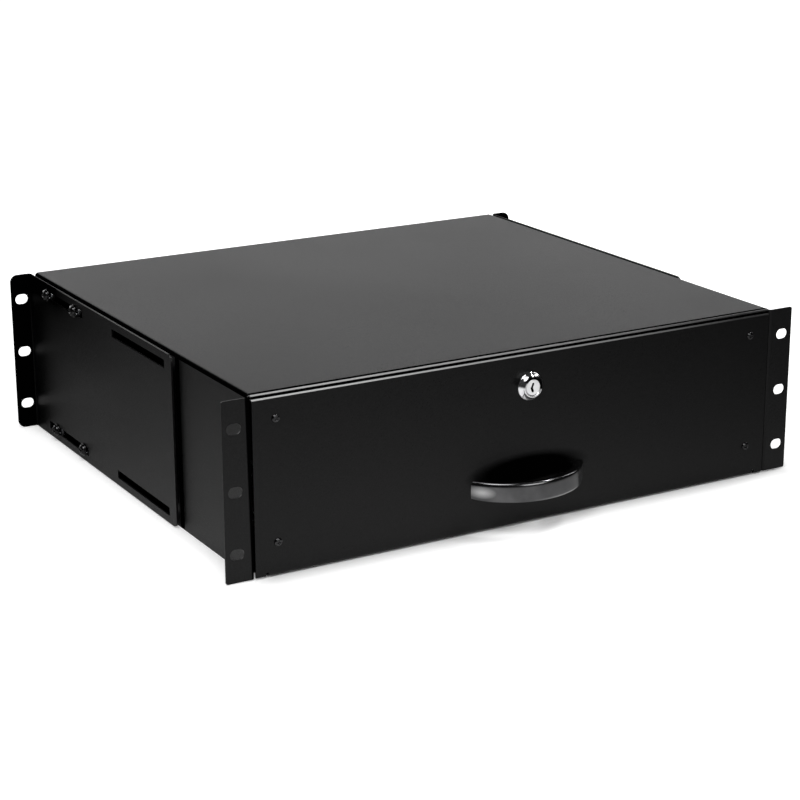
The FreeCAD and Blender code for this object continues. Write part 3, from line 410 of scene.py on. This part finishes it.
def closed_surface(points, ring=False):
    """Vertices and outward faces of a grid of points, rows by columns by three. Every row closes
    on itself. The last row joins the first in a ring, or both end rows close on their middles."""
    rows, columns = points.shape[:2]
    row, column = np.meshgrid(np.arange(rows if ring else rows - 1), np.arange(columns),
                              indexing="ij")
    after, beside = (row + 1) % rows, (column + 1) % columns
    quads = np.stack([row * columns + column, row * columns + beside,
                      after * columns + beside, after * columns + column], -1).reshape(-1, 4)
    vertices, caps = points.reshape(-1, 3), np.empty((0, 3), int)
    if not ring:
        vertices = np.vstack([vertices, points[0].mean(0), points[-1].mean(0)])
        turn, last = np.arange(columns), (rows - 1) * columns
        onward = (turn + 1) % columns
        caps = np.vstack([np.stack([np.full(columns, rows * columns), onward, turn], -1),
                          np.stack([np.full(columns, rows * columns + 1), last + turn,
                                    last + onward], -1)])
    thirds = vertices[np.vstack([quads[:, :3], quads[:, [0, 2, 3]], caps])]
    volume = np.einsum("ij,ij->", thirds[:, 0], np.cross(thirds[:, 1], thirds[:, 2]))
    step = 1 if volume > 0 else -1
    return vertices, quads[:, ::step].tolist() + caps[:, ::step].tolist()


def placed(shape, origin, axis, turn=0.0):
    """A shape with its own +Z laid along an axis from the origin given, turned about it."""
    vertices, faces = shape
    axis = np.array(axis, float)
    side = np.cross((1.0, 0.0, 0.0) if abs(axis[2]) > 0.9 else (0.0, 0.0, 1.0), axis)
    up = np.cross(axis, side)
    cos, sin = math.cos(turn), math.sin(turn)
    basis = np.stack([cos * side + sin * up, cos * up - sin * side, axis])
    return np.array(origin) + vertices @ basis, faces


def add_piece(name, shapes, node, crease=38.0, stands_in=True):
    """One object from several shapes. It rides on a CAD node's body in that node's finish,
    and stands in for the node unless it only adds to it."""
    counts = np.cumsum([0] + [len(vertices) for vertices, _ in shapes])
    faces = [[corner + start for corner in face]
             for start, (_, own) in zip(counts.tolist(), shapes) for face in own]
    mesh = bpy.data.meshes.new(name)
    mesh.from_pydata(np.vstack([vertices for vertices, _ in shapes]).tolist(), [], faces)
    mesh.shade_smooth()
    mesh.set_sharp_from_angle(angle=math.radians(crease))
    mesh.materials.append(FINISHES[SLOT_OF[node]])
    piece = bpy.data.objects.new(name, mesh)
    bpy.context.scene.collection.objects.link(piece)
    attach(piece, BODY_OF[node])
    if stands_in:
        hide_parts(node)


def solids_of(node):
    """Lowest and highest corner of each separate solid in a CAD node."""
    mesh = frame["nodes"][node].data
    corners = np.empty(3 * len(mesh.vertices))
    mesh.vertices.foreach_get("co", corners)
    corners = corners.reshape(-1, 3)
    _, same = np.unique(np.round(corners, 6), axis=0, return_inverse=True)
    same = same.ravel()
    ends = np.empty(2 * len(mesh.edges), int)
    mesh.edges.foreach_get("vertices", ends)
    first, second = same[ends[::2]], same[ends[1::2]]
    label, before = np.arange(same.max() + 1), None
    while before is None or (label != before).any():
        before = label.copy()
        np.minimum.at(label, first, before[second])
        np.minimum.at(label, second, before[first])
    group = label[same]
    return [(corners[group == key].min(0), corners[group == key].max(0))
            for key in np.unique(group)]


def around(radius, level, angle):
    """Points at a radius and level for every angle; the three broadcast together."""
    radius, level, angle = np.broadcast_arrays(radius, level, angle)
    return np.stack([radius * np.cos(angle), radius * np.sin(angle), level], -1) * MM


def turned(profile, columns=48):
    """A profile of (radius, level) turned once about +Z."""
    profile = np.array(profile, float)
    angle = np.linspace(0.0, 2.0 * math.pi, columns, endpoint=False)
    return around(profile[:, :1], profile[:, 1:], angle)


# ---- fasteners; lengths in mm ----

def cross_screw(head, height, shank, length, pitch):
    """Pan head screw along +Z: its seat at 0, the head's top at `height`, its tip at -length.
    Head: z = height sqrt(1 - (r / head)^4). Recess: where r |sin t| < slot / 2, t the angle to
    the nearest arm, z = height - depth (1 - 0.6 r / arm). Thread: r = shank - cut |2 f - 1|,
    f the fraction of z / pitch + t / 2 pi."""
    slot, arm, depth, cut = 0.28 * head, 0.62 * head, 0.62 * height, 0.3 * pitch

    def angles(radius):
        edge = np.arcsin(np.minimum(slot / 2 / radius, 0.66))[:, None]
        inner = edge * np.array([-0.86, -0.4, 0.0, 0.4, 0.86])
        outer = edge + (math.pi / 2 - 2 * edge) * np.array([0.0, 0.3, 0.7, 1.0])
        quarter = np.concatenate([inner, outer], 1)
        return np.concatenate([quarter + k * math.pi / 2 for k in range(4)], 1)

    in_arm = np.tile([True] * 5 + [False] * 4, 4)
    beyond = np.array([0.03, 0.3, 0.55, 0.75, 0.88, 0.96, 1.0])
    radius = np.concatenate([np.array([0.06, 0.2, 0.26, 0.6, 0.9, 0.97]) * arm,
                             arm + (head - arm) * beyond])
    dome = height * np.sqrt(np.maximum(1 - (radius / head) ** 4, 0.0))[:, None]
    floor = height - depth * (1 - 0.6 * radius / arm)[:, None]
    sunk = (radius < arm)[:, None] & (in_arm | (radius < 0.72 * slot)[:, None])
    top = around(radius[:, None], np.where(sunk, floor, dome), angles(radius))
    if length <= 0:
        return closed_surface(top)
    steps = np.linspace(0.0, length, int(length / pitch * 6) + 2)
    turn = angles(np.full(len(steps), arm))
    wave = np.abs(2 * np.mod(steps[:, None] / pitch + turn / (2 * math.pi), 1.0) - 1)
    taper = np.clip((length - steps) / pitch, 0.0, 1.0)[:, None]
    shaft = (shank - cut * wave) * (0.78 + 0.22 * taper)
    return closed_surface(np.concatenate([top, around(shaft, -steps[:, None], turn)]))


def hex_nut(across, length, bore):
    """Nut along +Z from 0: its outline across / 2 / cos t, t the angle to the nearest flat,
    is cut back near both faces by cones: r <= 0.48 across + 1.7 times the depth below a face."""
    level = np.concatenate([np.linspace(0.0, 0.2, 5), [0.5], np.linspace(0.8, 1.0, 5)]) * length
    angle = np.linspace(0.0, 2.0 * math.pi, 72, endpoint=False)
    flat = np.mod(angle + math.pi / 6, math.pi / 3) - math.pi / 6
    depth = np.minimum(level, length - level)[:, None]
    side = np.minimum(across / 2 / np.cos(flat), 0.48 * across + 1.7 * depth)
    inner = turned([(bore, length - 0.3), (bore, length / 2), (bore, 0.3), (bore + 0.3, 0.0)], 72)
    upper = turned([(bore + 0.3, length)], 72)
    return closed_surface(np.concatenate([inner, around(side, level[:, None], angle), upper]), True)


def clinch_nut(radius, length, bore):
    """Round press-in nut along +Z from 0: r = radius (1 - 0.05 sin^2 18 t) over its knurled
    foot, the top third of its length, and a plain drum below with eased rims."""
    angle = np.linspace(0.0, 2.0 * math.pi, 144, endpoint=False)
    rows = [(0.93, 0.0, 0), (1.0, 0.06, 0), (1.0, 0.6, 0), (0.9, 0.62, 0), (0.9, 0.68, 0),
            (1.0, 0.7, 1), (1.0, 0.97, 1), (0.97, 1.0, 1)]
    knurl = np.sin(18 * angle) ** 2
    outer = np.stack([around(radius * share * (1 - 0.05 * ridge * knurl), level * length, angle)
                      for share, level, ridge in rows])
    inner = turned([(bore + 0.3, length), (bore, length - 0.3), (bore, 0.3), (bore + 0.3, 0.0)],
                   columns=144)
    return closed_surface(np.concatenate([outer, inner]), True)


def ring_shape(outer, inner, length):
    """Flat washer or bush along +Z from 0, its rims eased by 0.3 of its length or 0.25 mm,
    whichever is less."""
    ease = min(0.25, 0.3 * length)
    return closed_surface(turned([
        (inner, ease), (inner + ease, 0.0), (outer - ease, 0.0), (outer - 0.3 * ease, 0.3 * ease),
        (outer, ease), (outer, length - ease), (outer - 0.3 * ease, length - 0.3 * ease),
        (outer - ease, length), (inner + ease, length), (inner, length - ease)]), True)


def blind_rivet(head, height, shank, length):
    """Dome z = height sqrt(1 - (r / head)^2.6) with the pin's broken end sunk in its middle,
    a plain shank below it and the drawn bulge at its tail."""
    radius = np.array([1.0, 0.97, 0.9, 0.78, 0.62, 0.45, 0.34]) * head
    dome = [(r, height * math.sqrt(max(1 - (r / head) ** 2.6, 0.0))) for r in radius]
    pin = [(0.3 * head, 0.72 * height), (0.27 * head, 0.5 * height), (0.24 * head, 0.52 * height),
           (0.2 * head, 0.66 * height), (0.06 * head, 0.72 * height)]
    tail = [(0.3 * shank, -length), (0.7 * shank, -length + 0.1), (shank, -length + 0.5),
            (shank, -length / 2), (shank, 0.0), (0.98 * head, 0.0)]
    return closed_surface(turned(tail + dome + pin))


def along_axis(node, axis, shape_for, turn_step=0.0):
    """A shape at each of a node's solids. Along the axis, 0, 1 or 2, shape_for takes a solid's
    span in mm and gives the shape, the place of its level 0 and the way its +Z points, 1 or -1.
    Each shape is turned about the axis by one more step than the last."""
    shapes = []
    for number, (low, high) in enumerate(solids_of(node)):
        shape, seat, direction = shape_for(low[axis] / MM, high[axis] / MM)
        origin = (low + high) / 2
        origin[axis] = seat * MM
        shapes.append(placed(shape, origin, np.eye(3)[axis] * direction, number * turn_step))
    return shapes


def side_screw(inward, head, height, shank, pitch):
    """Screws along X whose heads face the middle plane x = 0, or away from it."""
    def shape_for(low, high):
        side = 1.0 if low + high > 0 else -1.0
        near, far = sorted((abs(low), abs(high)))
        shape = cross_screw(head, height, shank, high - low - height, pitch)
        if inward:
            return shape, side * (near + height), -side
        return shape, side * (far - height), side
    return shape_for


def signed_power(value, power):
    """|value|^power with the value's own sign."""
    return np.sign(value) * np.abs(value) ** power


def rubber_pads(node):
    """Bumpers that fill their solids' boxes as |x|^p + |y|^p + |z|^p = 1 with p = 6, ribbed
    across by 1 - 0.05 sin^2 8 t, t the angle around the X axis."""
    power = 2.0 / 6.0
    lift = np.linspace(-math.pi / 2, math.pi / 2, 25)[:, None]
    angle = np.linspace(0.0, 2.0 * math.pi, 96, endpoint=False)[None, :]
    rib = 1.0 - 0.05 * np.sin(8.0 * angle) ** 2
    belt = signed_power(np.cos(lift), power) * rib
    unit = np.stack([signed_power(np.sin(lift), power) + 0.0 * angle,
                     belt * signed_power(np.cos(angle), power),
                     belt * signed_power(np.sin(angle), power)], -1)
    return [closed_surface((low + high) / 2 + unit * (high - low) / 2)
            for low, high in solids_of(node)]


SCREW_HEAD = 2.2  # height that the small screws' solids give their heads
RIVET_HEAD = 1.0
M4 = {"shank": 2.0, "pitch": 0.7}
M5 = {"shank": 2.5, "pitch": 0.8}
RAIL_SCREW = {"shank": 1.9, "pitch": 0.7}


def panel_screw(low, high):
    length = high - low - SCREW_HEAD
    return cross_screw(head=3.1, height=1.4, length=length, **M4), low + SCREW_HEAD, -1.0


def handle_screw(low, high):
    length = high - low - SCREW_HEAD
    return cross_screw(head=3.3, height=2.1, length=length, **M4), high - SCREW_HEAD, 1.0


def cam_screw(low, high):
    return cross_screw(head=4.4, height=high - low, length=0.0, **M5), low, 1.0


def bracket_washer(low, high):
    return ring_shape(outer=5.2, inner=2.65, length=high - low), low, 1.0


def bracket_bush(low, high):
    return ring_shape(outer=5.5, inner=2.65, length=high - low), low, 1.0


def bracket_nut(low, high):
    nut = clinch_nut(radius=4.6, length=high - low, bore=2.5)
    return (nut, low, 1.0) if low > 0 else (nut, high, -1.0)


def panel_nut(low, high):
    return hex_nut(across=6.2, length=high - low, bore=2.0), low, 1.0


def lock_nut(low, high):
    return hex_nut(across=17.0, length=high - low, bore=6.2), low, 1.0


def back_rivet(low, high):
    length = high - low - RIVET_HEAD
    rivet = blind_rivet(head=3.6, height=RIVET_HEAD, shank=2.0, length=length)
    return rivet, high - RIVET_HEAD, 1.0


def add_fasteners(name, node, axis, shape_for, turn_step=0.0):
    """One piece with a shape at each of a node's solids, which it stands in for."""
    add_piece(name, along_axis(node, axis, shape_for, turn_step), node)


ALONG_X, ALONG_Y = 0, 1
add_fasteners("panel_screws_threaded", "front_panel_screws", ALONG_Y, panel_screw, 0.9)
add_fasteners("handle_screws_threaded", "handle_screws", ALONG_Y, handle_screw, 0.6)
add_fasteners("rail_screws_outer", "outer_rail_screws", ALONG_X,
              side_screw(inward=False, head=3.6, height=1.2, **RAIL_SCREW), 0.7)
add_fasteners("rail_screws_inner", "inner_rail_screws", ALONG_X,
              side_screw(inward=True, head=3.3, height=1.2, **RAIL_SCREW), 0.7)
add_piece("ribbed_bumpers", rubber_pads("slide_bumpers"), "slide_bumpers")
add_fasteners("cam_screw_head", "cam_screw", ALONG_Y, cam_screw)
add_fasteners("bracket_screws_threaded", "bracket_screws", ALONG_X,
              side_screw(inward=False, head=4.4, height=2.6, **M5), 0.7)
add_fasteners("bracket_washers_eased", "bracket_washers", ALONG_X, bracket_washer)
add_fasteners("bracket_bushes", "bracket_spacers", ALONG_X, bracket_bush)
add_fasteners("bracket_clinch_nuts", "bracket_nuts", ALONG_X, bracket_nut)
add_fasteners("panel_hex_nuts", "front_panel_nuts", ALONG_Y, panel_nut, 0.35)
add_fasteners("lock_hex_nut", "lock_nut", ALONG_Y, lock_nut)
add_fasteners("back_blind_rivets", "back_rivets", ALONG_Y, back_rivet)


# ---- lock; levels in mm in front of the panel's face ----

PANEL_FACE = -1.2


def threaded(radius, low, high, pitch, columns=72):
    """Rows of a thread on a bar: r = radius - 0.3 pitch |2 f - 1|, f as on the screws."""
    steps = np.linspace(low, high, int(abs(high - low) / pitch * 6))[:, None]
    angle = np.linspace(0.0, 2.0 * math.pi, columns, endpoint=False)
    wave = np.abs(2 * np.mod(steps / pitch + angle / (2 * math.pi), 1.0) - 1)
    return around(radius - 0.3 * pitch * wave, steps, angle)


def lock_shell(rear, face):
    """Housing: threaded barrel, flange with an eased rim, a slightly hollow cone, a rounded
    collar and a stepped bore. The cone's radius at level z is
    7.6 + 3 s - 0.35 sin(pi s), s = (face - 0.4 - z) / 3.6."""
    cone = [(7.6 + 3.0 * s - 0.35 * math.sin(math.pi * s), face - 0.4 - 3.6 * s)
            for s in np.linspace(0.97, 0.04, 9)]
    outer = [(7.2, 0.0), (10.3, 0.0), (10.53, 0.1), (10.6, 0.35), (10.6, 2.75), (10.55, 3.1)]
    lip = [(7.52, face - 0.22), (7.35, face - 0.06), (7.1, face), (6.5, face), (6.3, face - 0.05),
           (6.15, face - 0.2), (6.1, face - 0.7), (5.88, face - 0.75), (5.88, face - 2.5),
           (4.68, face - 2.52), (4.68, face - 6.0), (4.68, rear)]
    return closed_surface(np.concatenate([
        threaded(radius=6.2, low=rear, high=0.0, pitch=1.0),
        turned(outer + cone + lip, columns=72)]), ring=True)


def lock_core(rear, square, face):
    """Plug whose face is spread between the key slot's outline K(s) and the rim's circle
    C(s), P = (1 - t) K + t C, with the slot's walls sunk straight behind it, a bevelled rim
    and a square tail."""
    slot = np.array([(0.1, 3.5), (0.8, 3.3), (0.7, 1.7), (0.0, 0.4), (0.0, -0.9), (0.75, -3.1),
                     (0.3, -3.7), (-0.9, -3.6), (-1.7, -1.8), (-2.2, -0.3), (-1.3, 1.3),
                     (-0.7, 3.3)])
    loop = np.vstack([slot, slot[:1]])
    length = np.concatenate([[0.0], np.cumsum(np.linalg.norm(np.diff(loop, axis=0), axis=1))])
    share = np.linspace(0.0, 1.0, 96, endpoint=False)
    key = np.stack([np.interp(share * length[-1], length, loop[:, k]) for k in (0, 1)], -1)
    angle = math.pi / 2 - share * 2 * math.pi
    circle = np.stack([np.cos(angle), np.sin(angle)], -1)

    def row(flat, level):
        return np.concatenate([flat, np.full((len(flat), 1), level)], -1) * MM

    def spread(t, radius, level):
        return row((1 - t) * key + t * radius * circle, level)

    def bar(radius, level):
        return row(radius * circle, level)

    tail = circle * (3.0 / np.abs(circle).max(1, keepdims=True))
    rows = [row(key * 0.5, face - 7.0), row(key, face - 7.0), row(key, face - 3.0),
            row(key, face - 0.25), spread(0.03, 5.2, face - 0.04), spread(0.08, 5.2, face)]
    rows += [spread(t, 5.2, face + 0.12 * math.sin(math.pi * t)) for t in (0.3, 0.55, 0.8, 1.0)]
    rows += [bar(5.45, face - 0.02), bar(5.7, face - 0.15), bar(5.8, face - 0.4),
             bar(5.8, face - 1.92), bar(4.6, face - 1.94), bar(4.6, face - 5.0),
             bar(4.6, rear), row(tail, rear - 0.02), row(tail, square + 0.2),
             row(tail * 0.93, square)]
    return closed_surface(np.stack(rows))


def lock_level(y):
    """A CAD place along Y as a level in front of the panel's face, in mm."""
    return PANEL_FACE - y / MM


housing_low, housing_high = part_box("lock_housing")
cam_low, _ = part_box("lock_cam")
lock_axis = (0.0, PANEL_FACE * MM, LOCK_LEVEL)
add_piece("lock_chrome_housing", [placed(
    lock_shell(lock_level(housing_high[1]), lock_level(housing_low[1])), lock_axis, (0, -1, 0))],
    "lock_housing", crease=50.0)
add_piece("lock_slotted_plug", [placed(
    lock_core(lock_level(cam_low[1]), lock_level(PLUG_HIGH[1]), lock_level(PLUG_LOW[1])),
    lock_axis, (0, -1, 0))], "lock_plug", crease=30.0)


# ---- bow handle ----

def bow_handle():
    """Bow swept between two arcs that both end on the panel, an outer one of half span 49 and
    depth 26.6 and an inner one of 37 and 20.1. At s along them, O and I are the arcs' points;
    the section is the superellipse |a|^p + |b|^p = 1 with a from I to O and b up, p = 4 above
    and 7 below: its flat front rolls over into its top and has a firmer foot. Points crowd
    towards both ends."""
    middle = (PULL_LOW[2] + PULL_HIGH[2]) / 2 / MM
    half = (PULL_HIGH[2] - PULL_LOW[2]) / 2 / MM
    aside = 1.6  # the bow stands this far to the right of the part's middle

    def arc(reach, depth, share):
        radius = (reach ** 2 + depth ** 2) / (2 * depth)
        sweep = math.asin(reach / radius) * share
        return np.stack([radius * np.sin(sweep) + aside,
                         PANEL_FACE - (radius * np.cos(sweep) - radius + depth)], -1)

    even = np.linspace(-1.0, 1.0, 97)
    share = 0.75 * np.sin(math.pi / 2 * even) + 0.25 * even
    outer = arc(49.0, 26.6, share)
    inner = arc(37.0, 20.1, share)
    turn = np.linspace(0.0, 2.0 * math.pi, 96, endpoint=False)
    power = 2.0 / np.where(np.sin(turn) > 0.0, 4.0, 7.0)
    across = 0.5 * signed_power(np.cos(turn), power) + 0.5
    upward = signed_power(np.sin(turn), power)
    flat = inner[:, None] + across[None, :, None] * (outer - inner)[:, None]
    level = np.broadcast_to(middle - 0.2 + (half + 0.3) * upward, flat.shape[:2])
    return closed_surface(np.concatenate([flat, level[..., None]], -1) * MM)


add_piece("bow_handle_polished", [bow_handle()], "handle", crease=60.0)


# ---- folded front edge of the casing's top ----

def front_nose():
    """Nose along the top sheet's front edge: a quarter round of radius R that rolls from the
    top face down to a short lip, (y, z) = (y0 - R sin t, z0 + R cos t)."""
    reach, radius = (PANEL_HALF + 0.0003) / MM, 1.3
    edge, top = 1.6, TOP / MM - 0.01
    turn = np.linspace(0.0, math.pi / 2, 12)
    outer = [(edge - radius * math.sin(t), top - radius + radius * math.cos(t)) for t in turn]
    section = np.array([(edge + 1.0, top)] + outer + [
        (edge - radius + 0.1, top - radius - 0.25), (edge - 0.4, top - radius - 0.3),
        (edge + 0.1, top - radius + 0.2), (edge + 1.0, top - radius + 0.2)])
    along = np.array([-reach, -reach + 0.4, reach - 0.4, reach])
    shrink = np.array([0.8, 1.0, 1.0, 0.8])
    middle = section.mean(0)
    flat = middle + shrink[:, None, None] * (section - middle)
    across = np.broadcast_to(along[:, None, None], flat.shape[:2] + (1,))
    return closed_surface(np.concatenate([across, flat], -1) * MM)


add_piece("casing_top_nose", [front_nose()], "casing_shell", stands_in=False)


# ---- studio ----

FLOOR_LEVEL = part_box("casing_shell")[0][2]
WHITE = (1.0, 1.0, 1.0)


def build_floor():
    """A pale sheet that catches the shadow. To the camera it glows white far off, at 0.6 of
    that near the part and less within 30 mm of its foot, where the paper is also darker, 0.7
    for 0.8: a painted shadow. In reflections it shows a painted pool of light, pale with a
    weak glow around the front left, that fades to near black."""
    mesh = bpy.data.meshes.new("studio_floor")
    reach = 14.0
    corners = [(-reach, -reach), (reach, -reach), (reach, reach), (-reach, reach)]
    mesh.from_pydata([(*corner, FLOOR_LEVEL) for corner in corners], [], [(0, 1, 2, 3)])
    floor = bpy.data.objects.new("studio_floor", mesh)
    bpy.context.scene.collection.objects.link(floor)
    material = bpy.data.materials.new("studio_paper")
    material.use_nodes = True
    nodes = Nodes(material.node_tree)
    path = material.node_tree.nodes.new("ShaderNodeLightPath").outputs
    place = nodes.add("TexCoord", "Object")
    # painted pool of light around the front left, seen only in reflections
    painted_pool = nodes.length(nodes.vector_math("SUBTRACT", place, (-0.14, -0.03, 0.0)))
    painted_pool = nodes.remap(painted_pool, 0.1, 0.65, 1.0, 0.12)
    beyond = nodes.vector_math("ABSOLUTE", nodes.vector_math(
        "SUBTRACT", place, (0.014, 0.199, 0.0)))
    beyond = nodes.vector_math("SUBTRACT", beyond, (0.218, 0.2, 1.0))
    gap = nodes.length(nodes.vector_math("MAXIMUM", beyond, (0.0, 0.0, 0.0)))
    # painted shadow round the foot: darker paper and less glow within 30 mm of it
    clear = nodes.remap(gap, 0.0, 0.03)
    paper = nodes.mix(clear, (0.7, 0.7, 0.7), (0.8, 0.8, 0.8))
    # painted dark in reflections away from the pool
    painted_dark_in_reflections = nodes.math("MULTIPLY", path["Is Glossy Ray"], nodes.math("SUBTRACT", 1.0, painted_pool))
    sheet = nodes.add("BsdfDiffuse", Color=nodes.mix(painted_dark_in_reflections, paper, (0.02, 0.02, 0.02)))
    seen = nodes.math("MULTIPLY", clear, nodes.remap(nodes.length(place), 0.45, 1.4, 0.6, 1.0))
    strength = nodes.math(
        "ADD", nodes.math("MULTIPLY", path["Is Camera Ray"], seen),
        nodes.math("MULTIPLY", path["Is Glossy Ray"], nodes.math("MULTIPLY", painted_pool, 0.05)))
    glow = nodes.add("Emission", Color=WHITE, Strength=strength)
    nodes.add("OutputMaterial", Surface=nodes.add("AddShader", n0=sheet, n1=glow))
    mesh.materials.append(material)


def build_world():
    """White behind the part; in reflections a white backdrop low at the rear right, dark
    elsewhere."""
    world = bpy.data.worlds.new("studio_world")
    bpy.context.scene.world = world
    world.use_nodes = True
    nodes = Nodes(world.node_tree)
    path = world.node_tree.nodes.new("ShaderNodeLightPath").outputs
    toward = nodes.add("SeparateXYZ", "Y", Vector=nodes.add("TexCoord", "Generated")).node.outputs
    rear = nodes.remap(toward["Y"], 0.1, 0.6, 0.02, 1.0)
    right = nodes.remap(toward["X"], -0.2, 0.25, 0.02, 1.0)
    low = nodes.remap(toward["Z"], 0.18, 0.46, 1.0, 0.02)
    backdrop = nodes.math("MULTIPLY", nodes.math("MULTIPLY", rear, right), low)
    mirrored = nodes.math("MULTIPLY", path["Is Glossy Ray"], backdrop)
    strength = nodes.math("MAXIMUM", path["Is Camera Ray"], nodes.math("MAXIMUM", mirrored, 0.03))
    nodes.add("OutputWorld", Surface=nodes.add("Background", Color=WHITE, Strength=strength))


def add_lamp(name, place, target, width, height, power):
    """A soft rectangular lamp at `place` that faces `target`."""
    lamp = bpy.data.lights.new(name, "AREA")
    lamp.shape = "RECTANGLE"
    lamp.size, lamp.size_y, lamp.energy = width, height, power
    holder = bpy.data.objects.new(name, lamp)
    bpy.context.scene.collection.objects.link(holder)
    holder.location = place
    aim = Vector(target) - Vector(place)
    holder.rotation_euler = aim.to_track_quat("-Z", "Y").to_euler()


def build_camera(place, yaw, pitch, roll, lens):
    """A camera at `place` that looks along yaw from +Y towards +X and pitch below the level."""
    ahead = Vector((math.sin(yaw) * math.cos(pitch), math.cos(yaw) * math.cos(pitch),
                    -math.sin(pitch)))
    right = Vector((math.cos(yaw), -math.sin(yaw), 0.0))
    up = right.cross(ahead)
    turned_right = math.cos(roll) * right + math.sin(roll) * up
    turned_up = math.cos(roll) * up - math.sin(roll) * right
    data = bpy.data.cameras.new("studio_camera")
    data.lens, data.sensor_width = lens, 36.0
    data.clip_start, data.clip_end = 0.05, 60.0
    camera = bpy.data.objects.new("studio_camera", data)
    bpy.context.scene.collection.objects.link(camera)
    camera.matrix_world = Matrix((turned_right, turned_up, -ahead)).transposed().to_4x4()
    camera.location = place
    bpy.context.scene.camera = camera


build_floor()
build_world()
add_lamp("front_softbox", (-0.5, -0.4, 1.1), (-0.2, 0.0, 0.0), 0.7, 0.7, 10.0)
add_lamp("overhead_strip", (1.58, 0.0, 2.55), (0.0, 0.0, 0.0), 0.8, 0.15, 34.0)
add_lamp("front_fill", (0.3, -1.7, 0.7), (0.0, 0.0, 0.0), 1.1, 0.8, 11.0)
add_lamp("rear_fill", (-0.7, 2.1, 0.8), (0.0, 0.4, 0.0), 1.7, 1.3, 14.0)
add_lamp("right_fill", (1.6, 0.3, 0.9), (0.2, 0.2, 0.0), 0.8, 0.8, 9.0)
build_camera((-0.7913, -1.1928, 0.4717), 0.5222, 0.3011, -0.0038, 93.912)
bpy.context.scene.view_settings.view_transform = "Standard"
